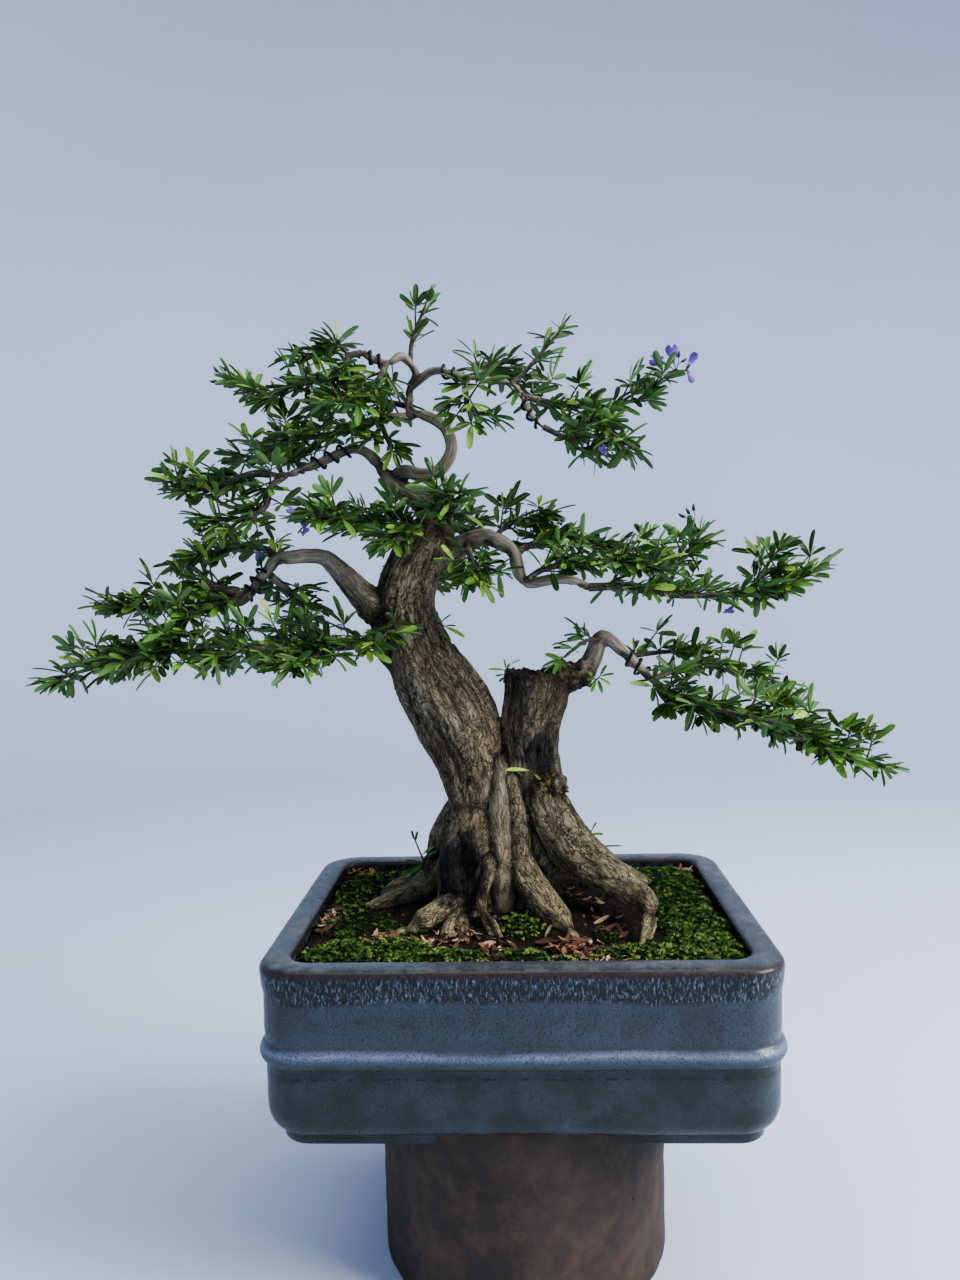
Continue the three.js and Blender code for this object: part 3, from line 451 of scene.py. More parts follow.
# Drain nets
# Squares cut from moulded plastic netting, one laid over each drain hole before the soil goes in.
# They stay as packed, with a finish of their own.

netting = Finish("black_netting", Roughness=0.55)
weathering = netting.clouds(300, detail=4)
netting.wear(
    Base_Color=netting.ramp(weathering, (0.35, "0d0e10"), (0.7, "24272b")),
    Normal=netting.bumps(weathering, 0.2 * MM),
)
for net_name in ("drain_net_left", "drain_net_right"):
    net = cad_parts[net_name]
    net.data.materials.clear()
    net.data.materials.append(netting.material)

# Wood
# The old wood, grown as one piece: a leaning trunk, a second trunk sawn off on a slant, and roots
# that grip the soil. The bark is furrowed along the grain, with a hollow and an old wound that are
# painted near-black, partly as dead wood and partly as painted shade inside them.

SOIL_BELOW_RIM_MM = 9
SOIL_LEVEL = POT_BASE + (POT_HEIGHT_MM - SOIL_BELOW_RIM_MM) * MM
# Across, away and up from the middle of the soil, and the radius there
THICK_WOOD = {
    "trunk": [
        (-27, 16, -14, 39), (-32, 13, 52, 32), (-33, 11, 94, 27), (-40, 9, 131, 30),
        (-52, 7, 170, 36), (-69, 6, 203, 35), (-86, 5, 237, 30), (-95, 4, 266, 27),
        (-93, 3, 290, 26), (-76, 1, 325, 23), (-67, 0, 342, 19), (-65, 0, 357, 13),
    ],
    "stump": [
        (1, 20, -14, 36), (5, 19, 18, 33), (15, 17, 69, 29), (17, 14, 108, 25),
        (14, 12, 141, 23), (14, 12, 172, 26), (21, 12, 203, 30), (24, 12, 232, 31),
    ],
    "hollow_lobe": [(-35, 4, 106, 16), (-41, -5, 71, 22), (-47, -8, 40, 25), (-47, -6, -12, 23)],
    "left_lobe": [(-42, 30, 100, 14), (-60, 38, 65, 18), (-67, 40, 32, 19), (-69, 40, -12, 18)],
    "pillar": [(-20, 0, 128, 12), (-15, -8, 84, 13), (-13, -14, 35, 12), (-17, -11, -12, 10)],
    "root_right": [
        (21, 4, 117, 16), (31, -2, 87, 21), (48, -8, 61, 22), (70, -14, 43, 19),
        (90, -24, 31, 15), (104, -38, 23, 12), (108, -48, 21, 10.5),
    ],
    "root_right_end": [(107, -50, 21, 7), (105, -61, 15, 4.8), (101, -75, 5, 3.5), (95, -89, -6, 2.4)],
    "root_right_second": [(110, -54, 19, 3), (112, -67, 12, 2), (106, -80, 3, 1.8)],
    "root_front": [
        (-2, -2, 112, 9), (1, -7, 76, 12), (4, -12, 44, 14), (20, -28, 22, 14), (36, -46, 8, 12),
    ],
    "root_front_end": [(36, -48, 7, 9), (44, -60, 1, 5.5), (50, -70, -8, 4)],
    "root_front_hair": [(26, -54, 5, 3), (21, -66, 1, 2), (24, -74, -6, 1.6)],
    "root_small": [(-26, -22, 46, 8), (-32, -32, 24, 6), (-28, -46, 11, 5), (-18, -68, -9, 3)],
    "root_small_second": [(-27, -44, 13, 4), (-20, -56, 8, 3.2), (-10, -70, -6, 2)],
    "root_left": [(-61, 28, 37, 16), (-83, 27, 17, 11), (-112, 23, 6, 8.5), (-150, 15, -7, 5)],
    "root_left_upper": [(-64, 30, 30, 12), (-88, 38, 18, 9), (-112, 44, 12, 7), (-128, 46, 2, 5)],
    "root_front_left": [(-42, -14, 23, 13), (-66, -32, 12, 11.5), (-82, -46, 8, 10)],
    "root_front_left_end": [(-66, -36, 4, 8), (-96, -50, 0, 6), (-118, -54, -10, 4)],
    "root_finger": [(-51, -26, 9, 8), (-48, -46, 4, 6.5), (-46, -76, -12, 5)],
    "root_finger_left": [(-52, -36, 10, 6), (-60, -52, 4, 5), (-64, -66, -8, 4)],
    "shoulder_swelling": [(-97, 2, 222, 15), (-106, 1, 243, 19), (-108, 0, 264, 18), (-102, 0, 280, 14)],
    "root_back": [(39, 36, 54, 16), (75, 56, 28, 12), (107, 70, 9, 9), (148, 80, -16, 4)],
    "knob": [(21, 2, 109, 12), (32, -3, 111, 11), (39, -5, 118, 8)],
}
SAW_CUT_AT = (18, 210)
SAW_CUT_FALL = math.tan(0.22)
# Hollows, and dark patches painted for stain and rot, which in the hollows and on the stump's top
# are partly painted shade: the middle of each, and its reach across, away and up
HOLLOW = ((-44, -37, 51), (13, 14, 22))
HOLLOW_STAIN_AND_SHADE = ((-50, -30, 46), (25, 26, 36))
WOUND = ((21, -13, 138), (10, 6.6, 16))
WOUND_STAIN_AND_SHADE = ((22, -11, 142), (15, 15, 20))
RED_ROT = ((31, -5, 161), (10, 12, 11))
# The stump's top, painted darker: partly its own rot, partly painted shade.
STUMP_ROT_AND_SHADE = ((22, 8, 204), (38, 44, 46))
# Knobbly bark round the feet of two limbs
ROUGH_COLLARS = [((52, 9, 212), (24, 19, 17)), ((-113, 0, 262), (24, 22, 27))]
KNOB = ((31, -7, 114), (15, 13, 13))
# The first stretch of each limb that leaves the old wood
COLLARS = {
    "shoulder": [(-96, 2, 253, 21), (-113, -1, 268, 17.5), (-127, -5, 281, 14)],
    "middle_right": [(-62, 6, 314, 13), (-47, 2, 324, 9.5)],
    "lower_right": [(16, 12, 194, 18), (44, 11, 206, 14.5), (60, 9, 212, 12.5), (67, 7, 221, 9)],
    "top_limb": [
        (-67, 0, 342, 18), (-64, 0, 356, 13), (-73, -1, 364, 11), (-98, -4, 378, 8.5),
        (-107, -6, 388, 7.5),
    ],
}
FLUTED = ("trunk", "stump", "root_right")
LIMB_SIDES = 28
LIMB_STEP_MM = 4
TRUNK_GRAIN_MM = 1.9
# Wood this thick carries the full depth of bark
OLD_RADIUS_MM = 24

Station = namedtuple("Station", "at dir up side radius along")


def unit(vector):
    return vector / np.linalg.norm(vector)


def square_to(vector, aim):
    """The unit direction nearest to a vector that lies square to another."""
    return unit(vector - vector.dot(aim) * aim)


def stations(line, step):
    """Stations along a smooth line through a table's points, with a frame that doesn't twist."""
    given = np.array([p[:3] for p in line], float)
    points = [2 * given[0] - given[1], *given, 2 * given[-1] - given[-2]]
    found = []
    for span in range(len(line) - 1):
        before, a, b, after = points[span : span + 4]
        pieces = max(1, math.floor(np.linalg.norm(b - a) / step + 0.5))
        leave, arrive = (b - before) / 2, (after - a) / 2
        square = 3 * (b - a) - 2 * leave - arrive
        cube = 2 * (a - b) + leave + arrive
        is_last = span == len(line) - 2
        for i in range(pieces + is_last):
            t = i / pieces
            at = a + t * (leave + t * (square + t * cube))
            heading = unit(leave + t * (2 * square + 3 * t * cube))
            radius = line[span][3] * (1 - t) + line[span + 1][3] * t
            if found:
                along = found[-1].along + np.linalg.norm(at - found[-1].at)
                above = found[-1].up
            else:
                along = 0.0
                above = np.array((0, -1, 0) if abs(heading[2]) > 0.8 else (0, 0, 1), float)
            above = square_to(above, heading)
            found.append(Station(at, heading, above, np.cross(above, heading), radius, along))
    return found


def placed(point):
    """A point of the tree's tables in the scene."""
    return point[0] * MM, point[1] * MM, point[2] * MM + SOIL_LEVEL


def saw_level(x):
    return SAW_CUT_AT[1] - SAW_CUT_FALL * (x - SAW_CUT_AT[0])


def domed(path):
    """The same stations with a rounded end beyond the first and the last."""

    def beyond(s, reach, share):
        return s._replace(at=s.at + s.dir * s.radius * reach, radius=s.radius * share)

    first, last = path[0], path[-1]
    start = [beyond(first, -0.6, 0.4), beyond(first, -0.36, 0.8)]
    return [*start, *path, beyond(last, 0.36, 0.8), beyond(last, 0.6, 0.4)]


def limb_rings(name, path):
    ridges = 0.045 if name in FLUTED else 0.02
    rings = []
    for s in domed(path):
        ring = []
        for angle in angles_round(LIMB_SIDES):
            furrow = math.cos(5 * angle + s.along / 45) + 0.6 * math.cos(3 * angle - s.along / 70)
            r = s.radius * (1 + ridges * furrow)
            x, y, z = s.at + r * math.cos(angle) * s.side + r * math.sin(angle) * s.up
            if name == "stump":
                z = min(z, saw_level(x) + 2.2 * noise.noise((x / 7, y / 7, 1)))
            ring.append(placed((x, y, z)))
        rings.append(ring)
    return rings


def grown_together(name, lines, grain, hollows=()):
    """Limbs fused into one skin of even faces, with hollows cut in and the joins grown over."""
    points, faces = [], []
    for limb_name, line in lines.items():
        more_points, more_faces = skin(limb_rings(limb_name, stations(line, LIMB_STEP_MM)))
        faces += [tuple(i + len(points) for i in face) for face in more_faces]
        points += more_points
    made = piece(name, points, faces)
    remesh(made, grain)
    for middle, radii in hollows:
        carve(made, ragged_ball(middle, radii), "DIFFERENCE")
    if hollows:
        remesh(made, grain)
    growth = made.modifiers.new("growth", "SMOOTH")
    growth.factor = 0.5
    growth.iterations = 5
    settle(made)
    return made


def remesh(made, grain):
    step = made.modifiers.new("remesh", "REMESH")
    step.mode = "VOXEL"
    step.voxel_size = grain * MM
    settle(made)


def ragged_ball(middle, radii):
    """A stretched ball with a ragged skin, for cutting a hollow that looks rotted out."""
    rows, sides = 20, 32
    rings = []
    for k in range(1, rows):
        tilt = k / rows * math.pi
        ring = []
        for out in circle(math.sin(tilt), -math.cos(tilt), sides):
            out = np.array(out)
            ragged = 1 + 0.3 * noise.noise(tuple(out * 1.3 + middle))
            ragged += 0.16 * noise.noise(tuple(out * 3.1 + middle))
            ring.append(placed(middle + out * radii * ragged))
        rings.append(ring)
    return skin(rings)


def listed(vectors, key):
    flat = np.empty(len(vectors) * 3, np.float32)
    vectors.foreach_get(key, flat)
    return flat.reshape(-1, 3).astype(float)


def vertices_of(made):
    return listed(made.data.vertices, "co")


def normals_of(made):
    return listed(made.data.vertex_normals, "vector")


def set_vertices(made, points):
    made.data.vertices.foreach_set("co", points.astype(np.float32).ravel())
    made.data.update()


def store(made, name, values):
    """Keeps a number or a vector for each vertex, for the material to read."""
    values = np.asarray(values, np.float32)
    kind, key = ("FLOAT_VECTOR", "vector") if values.ndim == 2 else ("FLOAT", "value")
    made.data.attributes.new(name, kind, "POINT").data.foreach_set(key, values.ravel())


def nearest_limbs(points, lines):
    """For each point, its place along, around and out from each limb, and how near that limb is."""
    found = []
    step = 5
    block_size = 20000
    for line in lines.values():
        path = stations(line, step)
        middles = np.array([s.at for s in path])
        best = np.empty(len(points), int)
        for start in range(0, len(points), block_size):
            block = points[start : start + block_size]
            gaps = ((block[:, None, :] - middles[None]) ** 2).sum(2)
            best[start : start + block_size] = gaps.argmin(1)
        at, dirs, ups, sides, radius, along = (np.array(values)[best] for values in zip(*path))
        out = points - at
        run = (out * dirs).sum(1)
        across, rise = (out * sides).sum(1), (out * ups).sum(1)
        reach = np.sqrt(across**2 + rise**2)
        clear = np.hypot(reach, np.maximum(abs(run) - step, 0)) - radius
        round_it = np.stack((across, rise, along + run), 1)
        round_it[:, :2] *= (radius / np.maximum(reach, 0.1))[:, None]
        found.append((clear, round_it, radius))
    return found


def bark_relief(x, y, z, seed):
    """Old bark round a limb (x, y) and along it (z): its height in mm, cracks painted dark (partly as
    shade), and a lie in -1..1.
    """
    sway = 7 * noise.noise((x / 26, y / 26 + seed, z / 34))
    flute = noise.noise((x / 17 + seed, y / 17, z / 90))
    plate = noise.noise(((x + sway) / 8, (y + sway) / 8 + seed, z / 34))
    furrow = noise.noise(((x + sway) / 6, (y + sway) / 6 + seed, z / 42))
    split = noise.noise(((x + sway) / 3.6, y / 3.6, z / 22 + seed))
    fine = noise.noise((x / 2.4 + seed, y / 2.4, z / 9))
    fades = clamp(0.4 + 2.2 * noise.noise((x / 12, y / 12 + seed, z / 22)))
    valley = math.exp(-((furrow / 0.11) ** 2)) * fades
    crack_and_shade = math.exp(-((split / 0.08) ** 2)) * clamp(0.3 + 2 * plate)
    height = 3.2 * flute + 1.6 * plate - 2.1 * valley - 0.9 * crack_and_shade + 0.7 * fine
    return height, valley + 0.7 * crack_and_shade, 0.6 * flute + 0.6 * plate + 0.25 * fine


def clamp(value):
    return max(0.0, min(1.0, value))


def grow_bark(made, lines):
    """Raises bark on a piece, and stores its grain, its cracks and creases to be painted dark (partly as
    shade), ridges and the thickness of the limb.
    """
    points = vertices_of(made)
    tree = (points - (0, 0, SOIL_LEVEL)) / MM
    limbs_near = nearest_limbs(tree, lines)
    names = list(lines)
    seeds = [7.3 * (sum(name.encode()) % 23) for name in names]
    clear = np.stack([c for c, _, _ in limbs_near], 1)
    order = clear.argsort(1)[:, :2]
    nearest = np.take_along_axis(clear, order, 1)
    share = np.exp(-(nearest[:, 1] - nearest[:, 0]) / 4)
    grain = np.empty((len(points), 3))
    lift, cracks, ridges, width = np.empty((4, len(points)))
    for i in range(len(points)):
        total, weight, dark, high = 0.0, 0.0, 0.0, 0.0
        for rank, part in ((0, 1.0), (1, share[i])):
            if part < 0.05:
                continue
            number = int(order[i, rank])
            _, places, radius = limbs_near[number]
            x, y, z = places[i]
            age = min(1.0, max(0.1, radius[i] / OLD_RADIUS_MM))
            height, crack_and_shade, ridge = bark_relief(x, y, z, seeds[number])
            total += part * age * height
            dark += part * min(1.0, age * 1.5) * crack_and_shade
            high += part * ridge
            weight += part
            if not rank:
                grain[i] = (x + 4 * seeds[number], y, z)
                width[i] = radius[i] + 12 * names[number].startswith("root")
        lift[i] = total / weight
        cracks[i] = dark / weight
        ridges[i] = high / weight
    # The creases where limbs meet are made sharper than the bark on either side, and painted darker as
    # shade.
    crease = np.where(nearest[:, 0] < 3, np.exp(-((nearest[:, 1] - nearest[:, 0]) ** 2) / 7), 0)
    made.data.update()
    lift -= 1.6 * crease * np.clip(nearest[:, 1] / 4 + 1, 0, 1)
    set_vertices(made, points + normals_of(made) * lift[:, None] * MM)
    store(made, "grain", grain * MM)
    store(made, "crack_and_shade", np.clip(cracks + 0.7 * crease, 0, 1.5))
    store(made, "ridge", ridges)
    store(made, "thickness", width)
    return tree


def marked(tree, form, ragged, soft, seed):
    """1 inside an ellipsoid of the tree with a ragged edge, fading to 0 over a soft share of it."""
    middle, radii = form
    far = np.sqrt((((tree - middle) / radii) ** 2).sum(1))
    mark = np.zeros(len(tree))
    for i in np.flatnonzero(far < 1 + ragged + soft):
        x, y, z = tree[i]
        wander = noise.noise((x / 9 + seed, y / 9, z / 20)) + noise.noise((x / 4, y / 4, z / 9 + seed))
        mark[i] = clamp((1 - far[i] + ragged * wander) / soft + 0.5)
    return mark


def gnarl(made, tree, form, depth):
    """Knobbly growth on the part of a piece inside an ellipsoid."""
    share = marked(tree, form, ragged=0.15, soft=0.35, seed=5)
    points, normals = vertices_of(made), normals_of(made)
    for i in np.flatnonzero(share > 0.02):
        x, y, z = tree[i]
        lump = noise.noise((x / 7, y / 7, z / 7)) + 0.6 * noise.noise((x / 3.2, y / 3.2, z / 3.2))
        points[i] += normals[i] * depth * (lump + 0.15) * share[i] * MM
    set_vertices(made, points)
    return share


def rough_cut(made, tree):
    """The sawn top: a ragged rim, and how near each point is to it."""
    below = saw_level(tree[:, 0]) - tree[:, 2]
    near = (abs(tree[:, 0] - 24) < 42) & (tree[:, 2] > 180) & (abs(below) < 16)
    mark = np.zeros(len(tree))
    points, normals = vertices_of(made), normals_of(made)
    for i in np.flatnonzero(near):
        x, y, z = tree[i]
        crumbled = noise.noise((x / 4, y / 4, z / 6)) + 0.6 * noise.noise((x / 1.9, y / 1.9, z / 3))
        rim = clamp(1.3 - abs(below[i] - 1) / 7)
        points[i] += normals[i] * 2.6 * rim * crumbled * MM
        mark[i] = clamp(1.25 - abs(below[i] - 0.5) / 5.5 + 0.7 * crumbled)
    set_vertices(made, points)
    return mark


bark = Finish("furrowed_bark", Roughness=0.85, Specular_IOR_Level=0.3)
grain = bark.stored("grain", out="Vector")
crack_and_shade = bark.stored("crack_and_shade")
ridge = bark.stored("ridge")
thickness = bark.stored("thickness")
scar_and_shade = bark.stored("scar_and_shade")
rot_and_shade = bark.stored("rot_and_shade")
knobbly = bark.stored("knobbly")
old = bark.span(thickness, 7, 16)
streaks = bark.clouds(1, at=bark.stretched(grain, 250, 250, 30), detail=5, rough=0.6)
fibres = bark.clouds(1, at=bark.stretched(grain, 800, 800, 90), detail=4, rough=0.65)
blotches = bark.clouds(34, detail=4, rough=0.6)
patches = bark.clouds(95, detail=3)
sway = bark.node("VectorMath", {0: bark.clouds_vector(90), 1: (0.014,) * 3}, operation="MULTIPLY")
swayed = bark.node("VectorMath", {0: grain, 1: sway}, operation="ADD")
net = bark.cells(1, at=bark.stretched(swayed, 210, 210, 40), feature="DISTANCE_TO_EDGE")
fine_net = bark.cells(1, at=bark.stretched(swayed, 420, 420, 85), feature="DISTANCE_TO_EDGE")
splits = bark.times(bark.span(net, 0.085, 0.0), bark.span(patches, 0.38, 0.52))
small_splits = bark.times(bark.span(fine_net, 0.12, 0.0), bark.span(patches, 0.56, 0.42))
split_bark = bark.times(bark.maths("MAXIMUM", splits, small_splits), old)
# The lightness follows random streaks and the bark's ridges: raised ridges are painted lighter, partly
# their own paler weathered colour, partly a painted highlight.
lit = bark.plus(streaks, bark.times(ridge, 0.22))
old_bark = bark.ramp(lit, (0.28, "2f271b"), (0.42, "5c523f"), (0.54, "7f745d"), (0.72, "a29980"))
young_bark = bark.ramp(lit, (0.28, "50493c"), (0.46, "777161"), (0.62, "989283"), (0.8, "aea798"))
body = bark.mixed(old, young_bark, old_bark)
warm = bark.tinged(body, "6d5540", blotches, 0.5, 0.68, 0.5)
foot_of_tree = bark.span(
    bark.split(bark.place, 2), SOIL_LEVEL + 140 * MM, SOIL_LEVEL + 20 * MM, 0, 0.8
)
mossy = bark.mixed(bark.times(foot_of_tree, bark.span(blotches, 0.6, 0.44)), warm, "ab9f7a")
fibred = bark.tinged(mossy, "342a1e", fibres, 0.48, 0.34, 0.5)
bright = bark.tinged(fibred, "beb49c", fibres, 0.56, 0.7, 0.4)
netted = bark.mixed(bark.times(split_bark, 0.8), bright, "231b12")
# Furrows, cracks and the creases where limbs meet are painted darker: partly the bark's own dark cracks,
# partly painted shade in them.
creviced_and_shaded = bark.tinged(netted, "1d1710", crack_and_shade, 0.15, 1.1, 0.88)
gnarled = bark.mixed(
    bark.times(knobbly, bark.span(patches, 0.4, 0.55, 0.35, 0.9)),
    creviced_and_shaded,
    bark.ramp(bark.clouds(240, detail=4), (0.4, "14100c"), (0.52, "4b4128"), (0.66, "a3965f")),
)
# Rot colour: the sawn rim and the red rot are the wood's own, and the stump's darker top is partly
# painted shade.
rotten_and_shaded = bark.mixed(
    bark.times(rot_and_shade, 0.85),
    gnarled,
    bark.ramp(fibres, (0.36, "100e0c"), (0.52, "2e261d"), (0.7, "574a3a")),
)
# Near-black for the hollow and the wound: partly their own dark dead wood, partly painted shade inside
# them.
dark_wood_and_shade = bark.ramp(fibres, (0.35, "040404"), (0.52, "0e0b0c"), (0.74, "2e262b"))
bark.wear(
    Base_Color=bark.mixed(scar_and_shade, rotten_and_shaded, dark_wood_and_shade),
    Roughness=bark.span(scar_and_shade, 0, 1, 0.85, 0.62),
    Normal=bark.bumps(
        bark.minus(fibres, bark.times(split_bark, 1.3)), 1.2 * MM, bark.bumps(streaks, 2.2 * MM)
    ),
)


def finish_wood(made):
    made.data.materials.clear()
    made.data.materials.append(bark.material)
    made.data.shade_smooth()
    seat(made, "bark", "wood")


trunk_lines = {**THICK_WOOD, **COLLARS}
trunk = grown_together("trunk_and_roots", trunk_lines, TRUNK_GRAIN_MM, (HOLLOW, WOUND))
trunk_tree = grow_bark(trunk, trunk_lines)
# The hollow and the wound, and a patch round each, are painted near-black: dead wood, with painted shade
# inside the cavities.
hollow_dark_and_shade = marked(trunk_tree, HOLLOW_STAIN_AND_SHADE, ragged=0.4, soft=0.7, seed=0)
wound_dark_and_shade = 0.9 * marked(trunk_tree, WOUND_STAIN_AND_SHADE, ragged=0.2, soft=0.25, seed=3)
sawn = rough_cut(trunk, trunk_tree)
store(trunk, "scar_and_shade", np.maximum(hollow_dark_and_shade, wound_dark_and_shade))
# The top of the stump is darkened, partly as rot and partly as painted shade.
stump_rot_and_shade = 0.5 * marked(trunk_tree, STUMP_ROT_AND_SHADE, ragged=0.3, soft=0.6, seed=2)
red_rot = marked(trunk_tree, RED_ROT, ragged=0.35, soft=0.6, seed=6)
store(trunk, "rot_and_shade", np.maximum(np.maximum(sawn, stump_rot_and_shade), red_rot))
lumpy = gnarl(trunk, trunk_tree, KNOB, 6)
for form in ROUGH_COLLARS:
    lumpy = np.maximum(lumpy, 0.8 * gnarl(trunk, trunk_tree, form, 3))
store(trunk, "knobbly", lumpy)
finish_wood(trunk)

# Limbs
# The pruned limbs that leave the old wood, and the leafy stems that fork from them. Their bark is
# thinner and greyer. Each stem's foot is grown into its limb, so that no fork shows a cut end.

LIMBS = {
    "shoulder": [
        (-96, 2, 253, 20), (-113, -1, 268, 15), (-130, -5, 284, 12.5), (-152, -14, 310, 8.2),
        (-165, -18, 319, 6.5), (-192, -26, 318, 6), (-203, -30, 313, 5.8), (-218, -36, 293, 5.2),
        (-227, -38, 285, 5),
    ],
    "top_limb": COLLARS["top_limb"],
    "s_curve": [
        (-103, -6, 386, 7), (-90, -10, 390, 6.3), (-75, -13, 386, 6.2), (-61, -14, 389, 6.2),
        (-50, -10, 406, 5.6), (-54, -2, 426, 5.2), (-68, 6, 438, 5), (-86, 10, 445, 4.6),
        (-87, 10, 456, 4.5), (-85, 8, 469, 4.5),
    ],
    "left_arch": [
        (-105, -5, 385, 7), (-115, -9, 400, 5.6), (-123, -12, 407, 5), (-135, -15, 410, 4.8),
        (-162, -21, 398, 4.3), (-190, -26, 388, 3.9), (-204, -28, 389, 3.6),
    ],
    "middle_right": [
        *COLLARS["middle_right"], (-35, -3, 330, 8.5), (-20, -8, 332, 7.5), (0, -16, 320, 6.4),
        (8, -18, 297, 5.4), (17, -18, 292, 5), (43, -17, 295, 4.4), (68, -13, 287, 4),
    ],
    "lower_right": [
        (18, 12, 196, 14), (45, 11, 206, 12), (60, 9, 213, 10.5), (69, 7, 224, 9.2),
        (76, 3, 242, 7.2), (86, 1, 240, 6), (111, -6, 214, 4.8), (126, -10, 200, 4.4),
    ],
    "apex_left": [
        (-85, 8, 466, 4.5), (-80, 5, 475, 4.4), (-90, -5, 489, 4.1), (-104, -10, 483, 3.8),
        (-126, -14, 491, 3.2),
    ],
    "apex_right": [
        (-86, 8, 464, 4.4), (-65, 0, 477, 3.9), (-43, -8, 471, 3.6), (-18, -14, 465, 3.3),
        (3, -18, 460, 3.1), (11, -20, 450, 3), (21, -24, 430, 2.8), (30, -26, 421, 2.6),
    ],
}
